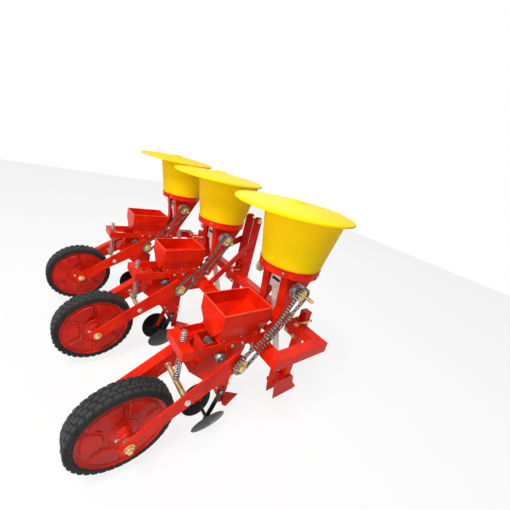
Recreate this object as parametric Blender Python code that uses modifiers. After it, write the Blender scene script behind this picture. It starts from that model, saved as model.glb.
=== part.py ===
"""Three-row corn planter with fertilizer hoppers, for the three-point hitch of a small tractor.

Metres, +Z up, +Y the way it is towed, +X the machine's right. The origin is on the ground under
the middle of the bounding box. Each row unit is drawn on the row line x = 0 and copied to its row.
"""
import math

import bmesh
import bpy
from mathutils import Matrix, Vector

# ---- driving dimensions -------------------------------------------------------------------------
ROW_SPACING = 0.600          # between seed rows
TUBE = 0.050                 # square tube of the main frame
FRAME_TOP = 0.4833           # height of the main frame's upper face
FRAME_RIGHT = 0.805
FRAME_LEFT = -0.745
REAR_BEAM_Y = 0.116          # rear face of the rear beam
FRONT_BEAM_Y = 0.4406        # front face of the front beam
AXLE_Y = -0.3839             # press wheel axle
AXLE_Z = 0.224
TYRE_RADIUS = 0.178
TYRE_WIDTH = 0.081
RIM_RADIUS = 0.1495
WHEEL_X = 0.024              # the press wheel runs a little to the right of the row line
PIVOT_Y = 0.002              # mid shaft: the arms swing on it and it carries the lower sprocket
PIVOT_Z = 0.4353
FEED_Y = 0.2388              # upper shaft of the fertilizer metering
FEED_Z = 0.7233
TIE_Y = -0.198               # cross tie between the arms, with the spring rod
TIE_Z = 0.335
ROD_X = 0.008
RAIL_X = 0.072               # outer face of a unit frame's side rail
RAIL_BOTTOM = FRAME_TOP + 0.0004
RAIL_TOP = 0.521
HOPPER_Y = 0.254             # axis of the fertilizer hopper
HOPPER_FLOOR = 0.7904
HOPPER_TOP = 1.050
HOPPER_RADIUS = 0.171
LID_Y = 0.195                # the lid overhangs to the rear
LID_RADIUS = 0.244
RING_RADIUS = 0.1335
SPROCKET_X = 0.1315
CHAIN_PITCH = 0.0127
TEETH = 14
COVER_RADIUS = 0.0785        # soil covering disc
COVER_CAMBER = math.radians(16.0)
COVER_X = 0.063
COVER_Y = -0.034
OPENER_X = 0.026             # the fertilizer is placed a little to the right of the seed
GAP = 0.0003                 # clearance where two pieces touch

PITCH_RADIUS = CHAIN_PITCH / (2.0 * math.sin(math.pi / TEETH))
COVER_Z = COVER_RADIUS * math.cos(COVER_CAMBER)
ROWS = (("right", ROW_SPACING), ("middle", 0.0), ("left", -ROW_SPACING))

# ---- scene and materials ------------------------------------------------------------------------
for old in list(bpy.data.objects):
    bpy.data.objects.remove(old)
for old in list(bpy.data.collections):
    bpy.data.collections.remove(old)

parts = bpy.data.collections.new("corn_planter")
guides = bpy.data.collections.new("guides")
bpy.context.scene.collection.children.link(parts)
bpy.context.scene.collection.children.link(guides)


def material(name, color, roughness, metallic):
    """A Principled material in the colour of the finish."""
    made = bpy.data.materials.new(name)
    made.use_nodes = True
    shader = made.node_tree.nodes["Principled BSDF"]
    shader.inputs["Base Color"].default_value = (*color, 1.0)
    shader.inputs["Roughness"].default_value = roughness
    shader.inputs["Metallic"].default_value = metallic
    return made


RED = material("red_paint", (0.72, 0.035, 0.02), 0.35, 0.0)
YELLOW = material("yellow_plastic", (0.95, 0.62, 0.01), 0.35, 0.0)
BLACK = material("black_paint", (0.02, 0.02, 0.02), 0.4, 0.0)
RUBBER = material("tyre_rubber", (0.035, 0.035, 0.037), 0.8, 0.0)
STEEL = material("spring_steel", (0.55, 0.55, 0.54), 0.35, 1.0)
ZINC = material("yellow_zinc", (0.62, 0.50, 0.28), 0.35, 1.0)
CHAIN = material("chain_steel", (0.16, 0.13, 0.11), 0.5, 1.0)
PLASTIC = material("white_plastic", (0.80, 0.78, 0.74), 0.45, 0.0)


# ---- modelling helpers --------------------------------------------------------------------------
def mesh_object(name, mesh):
    """An object in the parts collection that holds this mesh."""
    made = bpy.data.objects.new(name, mesh)
    parts.objects.link(made)
    return made


def bake(obj):
    """Replace an object by the mesh that it evaluates to, welded, in world coordinates."""
    graph = bpy.context.evaluated_depsgraph_get()
    mesh = bpy.data.meshes.new_from_object(obj.evaluated_get(graph))
    mesh.transform(obj.matrix_world)
    shape = bmesh.new()
    shape.from_mesh(mesh)
    bmesh.ops.remove_doubles(shape, verts=shape.verts, dist=1e-6)
    bmesh.ops.recalc_face_normals(shape, faces=shape.faces)
    shape.to_mesh(mesh)
    shape.free()
    name = obj.name
    bpy.data.objects.remove(obj)
    return mesh_object(name, mesh)


def box(x, y, z):
    """A box between two limits along each axis, each given as (low, high)."""
    bpy.ops.mesh.primitive_cube_add(size=1.0)
    made = bpy.context.object
    made.scale = (x[1] - x[0], y[1] - y[0], z[1] - z[0])
    made.location = (0.5 * (x[0] + x[1]), 0.5 * (y[0] + y[1]), 0.5 * (z[0] + z[1]))
    bpy.context.view_layer.update()
    return bake(made)


def cylinder(start, end, radius, sides=10):
    """A round bar between two points."""
    start = Vector(start)
    along = Vector(end) - start
    bpy.ops.mesh.primitive_cylinder_add(vertices=sides, radius=radius, depth=along.length)
    made = bpy.context.object
    made.rotation_mode = "QUATERNION"
    made.rotation_quaternion = along.to_track_quat("Z", "Y")
    made.location = start + 0.5 * along
    bpy.context.view_layer.update()
    return bake(made)


def shaft(x, y, z, radius, sides=10):
    """A round bar across the machine, from x[0] to x[1]."""
    return cylinder((x[0], y, z), (x[1], y, z), radius, sides)


def plate(outline, low, high, holes=()):
    """A flat plate across X from low to high, its outline a list of (y, z) and holes as outlines."""
    curve = bpy.data.curves.new("plate", "CURVE")
    curve.dimensions = "2D"
    curve.fill_mode = "BOTH"
    curve.extrude = 0.5 * (high - low)
    for loop in (outline, *holes):
        spline = curve.splines.new("POLY")
        spline.points.add(len(loop) - 1)
        for point, (y, z) in zip(spline.points, loop):
            point.co = (y, z, 0.0, 1.0)
        spline.use_cyclic_u = True
    made = bpy.data.objects.new("plate", curve)
    parts.objects.link(made)
    made.matrix_world = Matrix(((0, 0, 1, 0.5 * (low + high)), (1, 0, 0, 0), (0, 1, 0, 0), (0, 0, 0, 1)))
    bpy.context.view_layer.update()
    return bake(made)


def bore_radius(radius, sides=10):
    """The corner radius of a bore whose flats clear a shaft of this radius."""
    return (radius + 1.5 * GAP) / math.cos(math.pi / sides)


def bore(y, z, radius, sides=10):
    """The outline of a bore in the (y, z) plane for a shaft of this radius."""
    turn = 2.0 * math.pi / sides
    corner = bore_radius(radius, sides)
    return [(y + corner * math.cos(turn * i), z + corner * math.sin(turn * i)) for i in range(sides)]


def turned(profile, centre, axis="Z", sides=28):
    """A closed profile of (radius, height) turned about an axis through centre."""
    shape = bmesh.new()
    corners = [shape.verts.new((radius, 0.0, height)) for radius, height in profile]
    on_axis = profile[0][0] == 0.0 and profile[-1][0] == 0.0
    for first, second in zip(corners, corners[1:] if on_axis else corners[1:] + corners[:1]):
        shape.edges.new((first, second))
    mesh = bpy.data.meshes.new("turned")
    shape.to_mesh(mesh)
    shape.free()
    made = mesh_object("turned", mesh)
    screw = made.modifiers.new("turn", "SCREW")
    screw.axis = "Z"
    screw.steps = sides
    screw.render_steps = sides
    screw.use_merge_vertices = True
    screw.merge_threshold = 0.00001
    made.location = centre
    if axis == "X":
        made.rotation_euler = (0.0, 0.5 * math.pi, 0.0)
    bpy.context.view_layer.update()
    return bake(made)


def wire(points, radius, resolution=1):
    """A round wire or tube along a list of points, with closed ends."""
    curve = bpy.data.curves.new("wire", "CURVE")
    curve.dimensions = "3D"
    curve.bevel_depth = radius
    curve.bevel_resolution = resolution
    curve.use_fill_caps = True
    spline = curve.splines.new("POLY")
    spline.points.add(len(points) - 1)
    for point, place in zip(spline.points, points):
        point.co = (*place, 1.0)
    made = bpy.data.objects.new("wire", curve)
    parts.objects.link(made)
    bpy.context.view_layer.update()
    return bake(made)


def boolean(obj, other, operation):
    """Apply one exact Boolean to an object and remove the other operand."""
    change = obj.modifiers.new(operation, "BOOLEAN")
    change.operation = operation
    change.object = other
    change.solver = "EXACT"
    bpy.context.view_layer.update()
    made = bake(obj)
    bpy.data.objects.remove(other)
    return made


def fuse(first, *others):
    """Weld overlapping pieces into one solid."""
    for other in others:
        first = boolean(first, other, "UNION")
    return first


def cut(obj, *cutters):
    """Take the cutters out of a solid."""
    for cutter in cutters:
        cutter.hide_render = True
        cutter.display_type = "WIRE"
        parts.objects.unlink(cutter)
        guides.objects.link(cutter)
        obj = boolean(obj, cutter, "DIFFERENCE")
    return obj


def mirrored(obj):
    """The same piece on the other side of the row line."""
    mesh = obj.data.copy()
    mesh.transform(Matrix.Diagonal((-1.0, 1.0, 1.0, 1.0)))
    mesh.flip_normals()
    return mesh_object(obj.name, mesh)


def with_mirror(obj):
    """A piece and its mirror image across the row line."""
    return [mirrored(obj), obj]


def finish(obj, name, look, origin=(0.0, 0.0, 0.0)):
    """Name an object, give it its material and put its origin on its joint or datum."""
    obj.name = name
    obj.data.name = name
    obj.data.transform(Matrix.Translation(-Vector(origin)))
    obj.location = origin
    obj.data.materials.clear()
    obj.data.materials.append(look)
    obj.data.shade_smooth()
    obj.data.set_sharp_from_angle(angle=math.radians(35.0))
    return obj


def on_each_row(obj, name, look, origin=(0.0, 0.0, 0.0)):
    """One object for each row, all sharing this piece's mesh."""
    finish(obj, name, look, origin)
    for row, x in ROWS:
        copy = obj.copy()
        copy.name = name + "_" + row
        copy.location.x += x
        parts.objects.link(copy)
    bpy.data.objects.remove(obj)


def u_bolt(x, y, z, radius, open_end):
    """A U-bolt round the box x, y, z, open towards its (axis, side) end, of square section."""
    outer = [[low - 2.0 * radius, high + 2.0 * radius] for low, high in (x, y, z)]
    inner = [[low, high] for low, high in (x, y, z)]
    axis, side = open_end
    outer[axis][side] = (x, y, z)[axis][side]
    inner[axis][side] += 0.01 * (2 * side - 1)
    flat = 0 if x[1] - x[0] < 2.5 * radius else 2
    outer[flat] = list((x, y, z)[flat])
    inner[flat] = [outer[flat][0] - 0.01, outer[flat][1] + 0.01]
    return cut(box(*outer), box(*inner))


def hex_nut(x, y, z, across=0.018):
    """A hexagon across the machine between x[0] and x[1]."""
    return shaft(x, y, z, 0.5 * across / math.cos(math.pi / 6.0), 6)


def sprocket(y, z, width=0.005, x=SPROCKET_X):
    """A roller chain sprocket plate in its place across the shaft."""
    outline = []
    for tooth in range(TEETH):
        middle = 2.0 * math.pi * tooth / TEETH
        for turn, radius in ((-0.07, PITCH_RADIUS + 0.0038), (0.07, PITCH_RADIUS + 0.0038),
                             (math.pi / TEETH, PITCH_RADIUS - 0.0030)):
            outline.append((y + radius * math.cos(middle + turn), z + radius * math.sin(middle + turn)))
    return plate(outline, x - 0.5 * width, x + 0.5 * width)


def coil(x, y, low, high, radius, wire_radius, turns):
    """A compression spring on a vertical axis, with closed end turns."""
    steps = 6
    points = []
    for i in range(turns * steps + 1):
        along = i / (turns * steps)
        angle = 2.0 * math.pi * i / steps
        points.append((x + radius * math.cos(angle), y + radius * math.sin(angle), low + (high - low) * along))
    return wire(points, wire_radius, 0)


# ---- main frame: a mitred rectangle of square tube with the two lower link lugs ------------------
HITCH_X = 0.5 * (FRAME_LEFT + FRAME_RIGHT)
LUG_OFFSET = 0.330
LINK_PIN_Y = FRONT_BEAM_Y + 0.033
LINK_PIN_Z = 0.402


def about_hitch(obj):
    """A piece right of the hitch's middle and its mirror image, moved onto the hitch."""
    pair = with_mirror(obj)
    for piece in pair:
        piece.data.transform(Matrix.Translation((HITCH_X, 0.0, 0.0)))
    return pair


def main_frame():
    bottom = FRAME_TOP - TUBE
    wall = 0.004

    def rectangle(inset, low, high):
        return box((FRAME_LEFT + inset, FRAME_RIGHT - inset),
                   (REAR_BEAM_Y + inset, FRONT_BEAM_Y - inset), (low, high))

    ring = cut(rectangle(0.0, bottom, FRAME_TOP), rectangle(TUBE, bottom - 0.01, FRAME_TOP + 0.01))
    hollow = cut(rectangle(wall, bottom + wall, FRAME_TOP - wall), rectangle(TUBE - wall, bottom, FRAME_TOP))
    ring = cut(ring, hollow)
    drain_y = 0.5 * (REAR_BEAM_Y + FRONT_BEAM_Y)
    for x in (FRAME_LEFT + 0.5 * TUBE, FRAME_RIGHT - 0.5 * TUBE):
        ring = cut(ring, cylinder((x, drain_y, bottom - 0.01), (x, drain_y, bottom + 0.01), 0.005, 6))
    front = FRONT_BEAM_Y
    lug_outline = [(front - 0.001, FRAME_TOP - 0.006), (front + 0.030, FRAME_TOP - 0.010),
                   (front + 0.056, 0.425), (front + 0.056, 0.380), (front + 0.020, 0.372),
                   (front - 0.001, bottom + 0.001)]
    lug = plate(lug_outline, LUG_OFFSET, LUG_OFFSET + 0.012)
    lug = fuse(lug, shaft((LUG_OFFSET - 0.020, LUG_OFFSET + 0.090), LINK_PIN_Y, LINK_PIN_Z, 0.011),
               shaft((LUG_OFFSET + 0.011, LUG_OFFSET + 0.020), LINK_PIN_Y, LINK_PIN_Z, 0.018),
               hex_nut((LUG_OFFSET - 0.014, LUG_OFFSET + 0.001), LINK_PIN_Y, LINK_PIN_Z, 0.030))
    finish(fuse(ring, *about_hitch(lug)), "main_frame", RED)


# ---- three-point hitch: mast of two uprights with braces, and the hitch pins ---------------------
def hitch():
    inner, outer = 0.0365, 0.0445
    rear, front = FRONT_BEAM_Y + 0.0004, FRONT_BEAM_Y + 0.060
    bottom, top = 0.405, 0.860
    pin_y, pin_z = rear + 0.036, 0.838
    outline = [(rear, bottom), (front, bottom), (front, top - 0.014), (front - 0.014, top),
               (rear + 0.014, top), (rear, top - 0.014)]
    upright = plate(outline, inner, outer, [bore(pin_y, pin_z, 0.0095)])
    head = Vector((outer - 0.001, rear + 0.034, 0.700))
    foot = Vector((0.150, REAR_BEAM_Y + 0.5 * TUBE, FRAME_TOP + 0.0014))
    along = foot - head
    bpy.ops.mesh.primitive_cube_add(size=1.0)
    brace = bpy.context.object
    brace.matrix_world = (Matrix.Translation(0.5 * (head + foot)) @ along.to_track_quat("Y", "Z").to_matrix().to_4x4()
                          @ Matrix.Diagonal((0.008, along.length + 0.004, 0.040, 1.0)))
    bpy.context.view_layer.update()
    shoe_bottom = FRAME_TOP + 0.0004
    brace = cut(bake(brace), box((0.0, 0.3), (-0.1, 0.6), (0.40, shoe_bottom)))
    shoe = box((foot.x - 0.030, foot.x + 0.030), (foot.y - 0.024, foot.y + 0.024),
               (shoe_bottom, shoe_bottom + 0.006))
    side = fuse(upright, brace, shoe)
    spreader = box((HITCH_X - inner - 0.001, HITCH_X + inner + 0.001), (rear + 0.004, rear + 0.012), (0.560, 0.600))
    finish(fuse(spreader, *about_hitch(side)), "hitch_mast", RED)

    top_pin = fuse(shaft((HITCH_X - 0.062, HITCH_X + 0.060), pin_y, pin_z, 0.0095),
                   shaft((HITCH_X + outer + GAP, HITCH_X + outer + 0.008), pin_y, pin_z, 0.016),
                   hex_nut((HITCH_X - outer - 0.010, HITCH_X - outer - GAP), pin_y, pin_z, 0.026))
    finish(top_pin, "top_link_pin", ZINC, (HITCH_X, pin_y, pin_z))


# ---- unit frame: rear crossbar, two angle rails, pivot plates and front tie ----------------------
def unit_frame():
    bar_rear, bar_front = -0.225, -0.180
    sheet = 0.005
    crossbar = cut(box((-RAIL_X, RAIL_X), (bar_rear, bar_front), (0.483, RAIL_TOP)),
                   box((-RAIL_X + sheet, RAIL_X - sheet), (bar_rear + sheet, bar_front - sheet),
                       (0.470, RAIL_TOP - sheet)))
    slot = box((ROD_X - 0.0065, ROD_X + 0.0065), (TIE_Y - 0.0105, TIE_Y + 0.0090), (0.51, 0.53))
    crossbar = cut(crossbar, slot)
    rail_front = 0.197
    web = box((RAIL_X - sheet, RAIL_X), (bar_front - 0.001, rail_front), (RAIL_BOTTOM, RAIL_TOP))
    flange = box((0.045, RAIL_X - 0.001), (bar_front - 0.001, rail_front), (RAIL_BOTTOM, RAIL_BOTTOM + sheet))
    rail = fuse(web, flange)
    pivot_outline = [(-0.052, 0.515), (0.047, 0.515), (0.047, 0.476), (0.028, 0.412),
                     (-0.022, 0.412), (-0.038, 0.440)]
    pivot_plate = plate(pivot_outline, RAIL_X - 0.0005, RAIL_X + 0.0063,
                        [bore(PIVOT_Y, PIVOT_Z, 0.010)])
    side = fuse(rail, pivot_plate, rail_clamp())
    tie = box((-RAIL_X + 0.001, RAIL_X - 0.001), (rail_front - sheet, rail_front - 0.0004),
              (RAIL_BOTTOM + 0.0004, RAIL_TOP - 0.0004))
    frame = fuse(crossbar, *with_mirror(side), tie)
    on_each_row(fuse(frame, *seed_box()), "unit_frame", RED)


def rail_clamp():
    """The U-bolt that holds one rail down on the rear beam."""
    radius = 0.0048
    width = (CLAMP_X - radius, CLAMP_X + radius)
    inside = (REAR_BEAM_Y - 0.0017, REAR_BEAM_Y + TUBE + 0.0017)
    return u_bolt(width, inside, (FRAME_TOP - TUBE - GAP, RAIL_BOTTOM + 0.0175), radius, (2, 1))


CLAMP_X = 0.056


# ---- seed box: open sheet-metal box with a sloping floor ----------------------------------------
def sheet_loft(loops, thickness):
    """A sheet through rectangles (half width, rear y, front y, z), thickened inwards."""
    shape = bmesh.new()
    rings = []
    for half, rear, front, z in loops:
        corners = ((-half, rear), (half, rear), (half, front), (-half, front))
        rings.append([shape.verts.new((x, y, z)) for x, y in corners])
    for low, high in zip(rings, rings[1:]):
        for i in range(4):
            shape.faces.new((low[i], low[(i + 1) % 4], high[(i + 1) % 4], high[i]))
    mesh = bpy.data.meshes.new("sheet")
    shape.to_mesh(mesh)
    shape.free()
    made = mesh_object("sheet", mesh)
    thick = made.modifiers.new("thickness", "SOLIDIFY")
    thick.thickness = thickness
    thick.offset = -1.0
    thick.use_even_offset = True
    bpy.context.view_layer.update()
    return bake(made)


def seed_box():
    rear, front = -0.0917, 0.1374
    half = 0.085
    rim = 0.6535
    sheet = 0.002
    body = sheet_loft([(0.070, -0.080, 0.122, RAIL_TOP - 0.003), (0.070, -0.080, 0.122, 0.540),
                       (half, rear, front, 0.588), (half, rear, front, rim)], sheet)
    floor = sheet_loft([(0.030, ROLLER_Y - 0.028, ROLLER_Y + 0.032, 0.5235),
                        (half - 0.001, rear + 0.001, front - 0.001, 0.592)], sheet)
    return body, floor


# ---- seed metering: steel roller, and the red chute that carries the seed down -------------------
ROLLER_Y = -0.0625
ROLLER_Z = 0.455
ROLLER_RADIUS = 0.020
CHUTE_X = 0.040


def seed_metering():
    roller = fuse(shaft((-0.060, 0.085), ROLLER_Y, ROLLER_Z, ROLLER_RADIUS, 12),
                  shaft((-0.068, 0.093), ROLLER_Y, ROLLER_Z, 0.007, 8))
    on_each_row(roller, "seed_roller", STEEL, (0.0, ROLLER_Y, ROLLER_Z))

    sheet = 0.003
    top_rear, outlet_rear = (-0.167, 0.392), (-0.043, 0.2695)
    front = TINE_REAR + 0.0005
    shoulder, top = 0.4225, 0.505
    side_outline = [top_rear, (-0.148, shoulder), (-0.123, shoulder), (-0.123, top), (-0.020, top),
                    (-0.020, shoulder), (front, shoulder), (front, 0.200), (-0.008, 0.200), outlet_rear]
    side = plate(side_outline, CHUTE_X - sheet, CHUTE_X, [bore(ROLLER_Y, ROLLER_Z, ROLLER_RADIUS, 12)])
    tab = box((CHUTE_X - 0.001, 0.062), (-0.120, -0.024), (RAIL_BOTTOM - 0.0034, RAIL_BOTTOM - 0.0004))
    side = fuse(side, tab)
    inside = (-CHUTE_X + 0.0015, CHUTE_X - 0.0015)
    back = plate([(top_rear[0] + 0.0006, top_rear[1] + 0.0008), (outlet_rear[0] + 0.0006, outlet_rear[1] + 0.0008),
                  (outlet_rear[0] + 0.004, outlet_rear[1] + 0.003), (top_rear[0] + 0.004, top_rear[1] + 0.003)],
                 *inside)
    hood = plate([(top_rear[0] + 0.0003, top_rear[1]), (-0.1478, shoulder - 0.0004), (-0.121, shoulder - 0.0004),
                  (-0.121, shoulder - sheet), (-0.146, shoulder - sheet), (top_rear[0] + 0.004, top_rear[1])], *inside)
    wall = box(inside, (-0.1228, -0.120), (shoulder - 0.0015, top - 0.0004))
    face = box(inside, (front - sheet, front - 0.0002), (0.2004, shoulder - 0.0006))
    shelf = box(inside, (-0.021 - sheet, front - 0.001), (shoulder - sheet, shoulder - 0.0003))
    wall_front = box(inside, (-0.020 - sheet, -0.0203), (shoulder - 0.0015, top - 0.0004))
    chute = fuse(face, shelf, wall_front, wall, hood, back, *with_mirror(side))
    on_each_row(fuse(chute, seed_tine(), disc_carrier()), "seed_opener", RED)


# ---- seed opener: tine and arrow-shaped sweep ----------------------------------------------------
TINE_REAR = 0.0455
TINE_FRONT = 0.0705
TINE_CLAMP_Z = (0.245, 0.208)


def seed_tine():
    tine = box((-0.010, 0.010), (TINE_REAR, TINE_FRONT), (0.096, 0.330))
    nose, wing = (0.0, 0.169), (0.048, 0.060)
    heel, notch = (0.036, 0.048), (0.0, 0.060)
    half = [nose, wing, heel, notch]
    outline = half + [(-x, y) for x, y in reversed(half[1:-1])]
    sweep = plate(outline, -0.0025, 0.0025)
    lie_flat = Matrix(((0, 1, 0, 0), (0, 0, 1, 0), (1, 0, 0, 0), (0, 0, 0, 1)))
    hinge = Matrix.Translation((0.0, TINE_FRONT, 0.104))
    sweep.matrix_world = hinge @ Matrix.Rotation(math.radians(-13.0), 4, "X") @ hinge.inverted() \
        @ Matrix.Translation((0.0, 0.0, 0.104)) @ lie_flat
    bpy.context.view_layer.update()
    tine = fuse(tine, bake(sweep))
    for z in TINE_CLAMP_Z:
        strap = box((-0.0180, 0.0180), (TINE_REAR + 0.0003, TINE_FRONT + 0.0065), (z - 0.0036, z + 0.0036))
        tine = fuse(tine, strap)
    return tine


# ---- covering discs: two cambered concave discs on a black carrier ------------------------------
def cover_axis():
    """Unit vector out of the right-hand disc along its spin axis."""
    return Vector((math.cos(COVER_CAMBER), 0.0, -math.sin(COVER_CAMBER)))


def covering_discs():
    dish, sheet, boss = 0.010, 0.003, 0.012
    centre = Vector((COVER_X, COVER_Y, COVER_Z))
    rim = COVER_RADIUS
    profile = [(0.0, dish), (0.045, 0.7 * dish), (rim, 0.0), (rim - 0.002, -0.0015),
               (0.014, 0.9 * dish - sheet), (0.014, -boss), (0.0, -boss)]
    disc = turned(profile, (0.0, 0.0, 0.0), sides=14)
    disc.matrix_world = Matrix.Translation(centre) @ cover_axis().to_track_quat("Z", "Y").to_matrix().to_4x4()
    bpy.context.view_layer.update()
    disc = bake(disc)
    other = mirrored(disc)
    on_each_row(disc, "covering_disc_right", BLACK, centre)
    on_each_row(other, "covering_disc_left", BLACK, (-centre.x, centre.y, centre.z))


def disc_carrier():
    """The black arms down the chute's sides, with the bearing stub of each disc."""
    centre = Vector((COVER_X, COVER_Y, COVER_Z))
    bearing_start = centre - cover_axis() * (0.012 + GAP)
    bearing_end = bearing_start - cover_axis() * 0.012
    bearing = cylinder(bearing_start, bearing_end, 0.013, 8)
    bar = shaft((-bearing_end.x - 0.002, bearing_end.x + 0.002), COVER_Y, bearing_end.z, 0.007, 8)
    arm_x = CHUTE_X - 0.0005
    low, high = Vector((COVER_Y, bearing_end.z)), Vector((0.018, 0.222))
    along = (high - low).normalized() * 0.012
    side = Vector((-along.y, along.x))
    outline = [low - along + side, low - along - side, high + along - side, high + along + side]
    arm = plate([(corner.x, corner.y) for corner in outline], arm_x, arm_x + 0.006)
    return fuse(bar, *with_mirror(fuse(bearing, arm)))


# ---- press wheel: rubber tyre on a pressed steel wheel with its axle -----------------------------
CASE = (-0.129, -0.081)      # the chain case that is the left arm
CASE_SPROCKET = (-0.109, -0.101)
ARM = (0.112, 0.120)         # the flat right arm


def press_wheel():
    half = 0.5 * TYRE_WIDTH
    inner = RIM_RADIUS + GAP
    tread = TYRE_RADIUS
    tyre = turned([(tread, half - 0.012), (tread, -half + 0.012), (tread - 0.012, -half), (inner, -half),
                   (inner, half), (tread - 0.012, half)],
                  (WHEEL_X, AXLE_Y, AXLE_Z), "X", 22)
    on_each_row(tyre, "press_tyre", RUBBER, (WHEEL_X, AXLE_Y, AXLE_Z))

    web, sheet, axle = 0.054, 0.003, 0.008
    rim_left, rim_right = WHEEL_X - half + 0.003, WHEEL_X + half - 0.003
    disc = turned([(0.0, web), (RIM_RADIUS - sheet, web), (RIM_RADIUS - sheet, rim_right), (RIM_RADIUS, rim_right),
                   (RIM_RADIUS, rim_left), (RIM_RADIUS - sheet, rim_left), (RIM_RADIUS - sheet, web - sheet),
                   (0.0, web - sheet)], (0.0, AXLE_Y, AXLE_Z), "X", 22)
    hub = shaft((0.0, 0.088), AXLE_Y, AXLE_Z, 0.022, 8)
    sleeve = shaft((0.087, 0.108), AXLE_Y, AXLE_Z, 0.014, 8)
    case_sprocket = shaft(CASE_SPROCKET, AXLE_Y, AXLE_Z, 0.026, 8)
    wheel = fuse(shaft((-0.146, 0.138), AXLE_Y, AXLE_Z, axle), sleeve, hub, disc, case_sprocket)
    wheel = fuse(wheel, hex_nut((ARM[1] + GAP, ARM[1] + 0.010), AXLE_Y, AXLE_Z, 0.026),
                 hex_nut((CASE[0] - 0.010, CASE[0] - GAP), AXLE_Y, AXLE_Z, 0.026))
    on_each_row(wheel, "press_wheel", RED, (WHEEL_X, AXLE_Y, AXLE_Z))


# ---- arms: flat bar on the right, chain case on the left ----------------------------------------
def from_axle(d, z):
    """A point given by its distance in front of the axle and its height."""
    return (AXLE_Y + d, z)


def chain_line(start, end, radius, steps=4):
    """The outline that a belt of this radius makes round two centres (y, z)."""
    lean = math.atan2(end[1] - start[1], end[0] - start[0])
    outline = []
    for centre, first in ((start, lean + 0.5 * math.pi), (end, lean - 0.5 * math.pi)):
        for i in range(steps + 1):
            angle = first + math.pi * i / steps
            outline.append((centre[0] + radius * math.cos(angle), centre[1] + radius * math.sin(angle)))
    return outline


def arms():
    outline = [from_axle(*point) for point in (
        (-0.030, 0.243), (0.109, 0.333), (0.365, 0.496), (0.420, 0.458), (0.393, 0.408), (0.142, 0.284),
        (0.012, 0.204), (-0.014, 0.199), (-0.034, 0.220))]
    holes = [bore(AXLE_Y, AXLE_Z, 0.008), bore(PIVOT_Y, PIVOT_Z, 0.010), bore(TIE_Y, TIE_Z, 0.005)]
    arm = plate(outline, ARM[0], ARM[1], holes)
    on_each_row(arm, "arm_right", RED, (0.0, PIVOT_Y, PIVOT_Z))

    length = math.hypot(PIVOT_Y - AXLE_Y, PIVOT_Z - AXLE_Z)
    along = Vector((PIVOT_Y - AXLE_Y, PIVOT_Z - AXLE_Z)) / length
    up = Vector((-along.y, along.x))

    def side_view(points):
        places = [Vector((AXLE_Y, AXLE_Z)) + along * s + up * t for s, t in points]
        return [(place.x, place.y) for place in places]

    sheet = 0.0025
    low, end = -0.027, length + 0.035
    shell = plate(side_view([(-0.035, low), (end, low), (end, 0.046), (length - 0.01, 0.057), (-0.02, 0.034),
                             (-0.035, 0.026)]), *CASE)
    inside = plate(side_view([(-0.035 + sheet, low - 0.01), (end - sheet, low - 0.01), (end - sheet, 0.0445),
                              (length - 0.01, 0.0545), (-0.02, 0.0315), (-0.035 + sheet, 0.0245)]),
                   CASE[0] + sheet, CASE[1] - sheet)
    case = cut(shell, inside, shaft((CASE[0] - 0.01, CASE[1] + 0.01), AXLE_Y, AXLE_Z, bore_radius(0.008)),
               shaft((CASE[0] - 0.01, CASE[1] + 0.01), PIVOT_Y, PIVOT_Z, bore_radius(0.010)),
               shaft((CASE[1] - 0.01, CASE[1] + 0.01), TIE_Y, TIE_Z, bore_radius(0.005)))
    on_each_row(case, "chain_case", RED, (0.0, PIVOT_Y, PIVOT_Z))


# ---- spring rod on its cross tie, and the press spring that pushes the wheel down ----------------
def spring_rod():
    tie = shaft((CASE[1] + GAP, ARM[0] - GAP), TIE_Y, TIE_Z, 0.011, 10)
    bolt = shaft((CASE[1] - sheet_head(), ARM[1] + 0.008), TIE_Y, TIE_Z, 0.005, 6)
    head = hex_nut((ARM[1] + GAP, ARM[1] + 0.008), TIE_Y, TIE_Z, 0.017)
    nut = hex_nut((CASE[1] - sheet_head(), CASE[1] - 0.0025 - GAP), TIE_Y, TIE_Z, 0.017)
    rod = cylinder((ROD_X, TIE_Y, TIE_Z), (ROD_X, TIE_Y, 0.572), 0.005, 6)
    seat = cylinder((ROD_X, TIE_Y, TIE_Z + 0.004), (ROD_X, TIE_Y, TIE_Z + 0.014), 0.0135, 8)
    nut_top = cylinder((ROD_X, TIE_Y, 0.556), (ROD_X, TIE_Y, 0.565), 0.0095, 6)
    rod = fuse(tie, bolt, head, nut, rod, seat, nut_top)
    rebound = coil(ROD_X, TIE_Y, RAIL_TOP + 0.0026, 0.5570, 0.0078, 0.0020, 2)
    on_each_row(fuse(rod, rebound), "spring_rod", ZINC, (0.0, TIE_Y, TIE_Z))

    wire_radius = 0.0018
    low, high = TIE_Z + 0.014 + wire_radius + GAP, RAIL_TOP - 0.005 - wire_radius - GAP
    spring = coil(ROD_X, TIE_Y, low, high, 0.0105, wire_radius, 7)
    on_each_row(spring, "press_spring", STEEL, (0.0, TIE_Y, TIE_Z))


def sheet_head():
    """How far the tie's bolt reaches into the chain case, nut included."""
    return 0.0095


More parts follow.
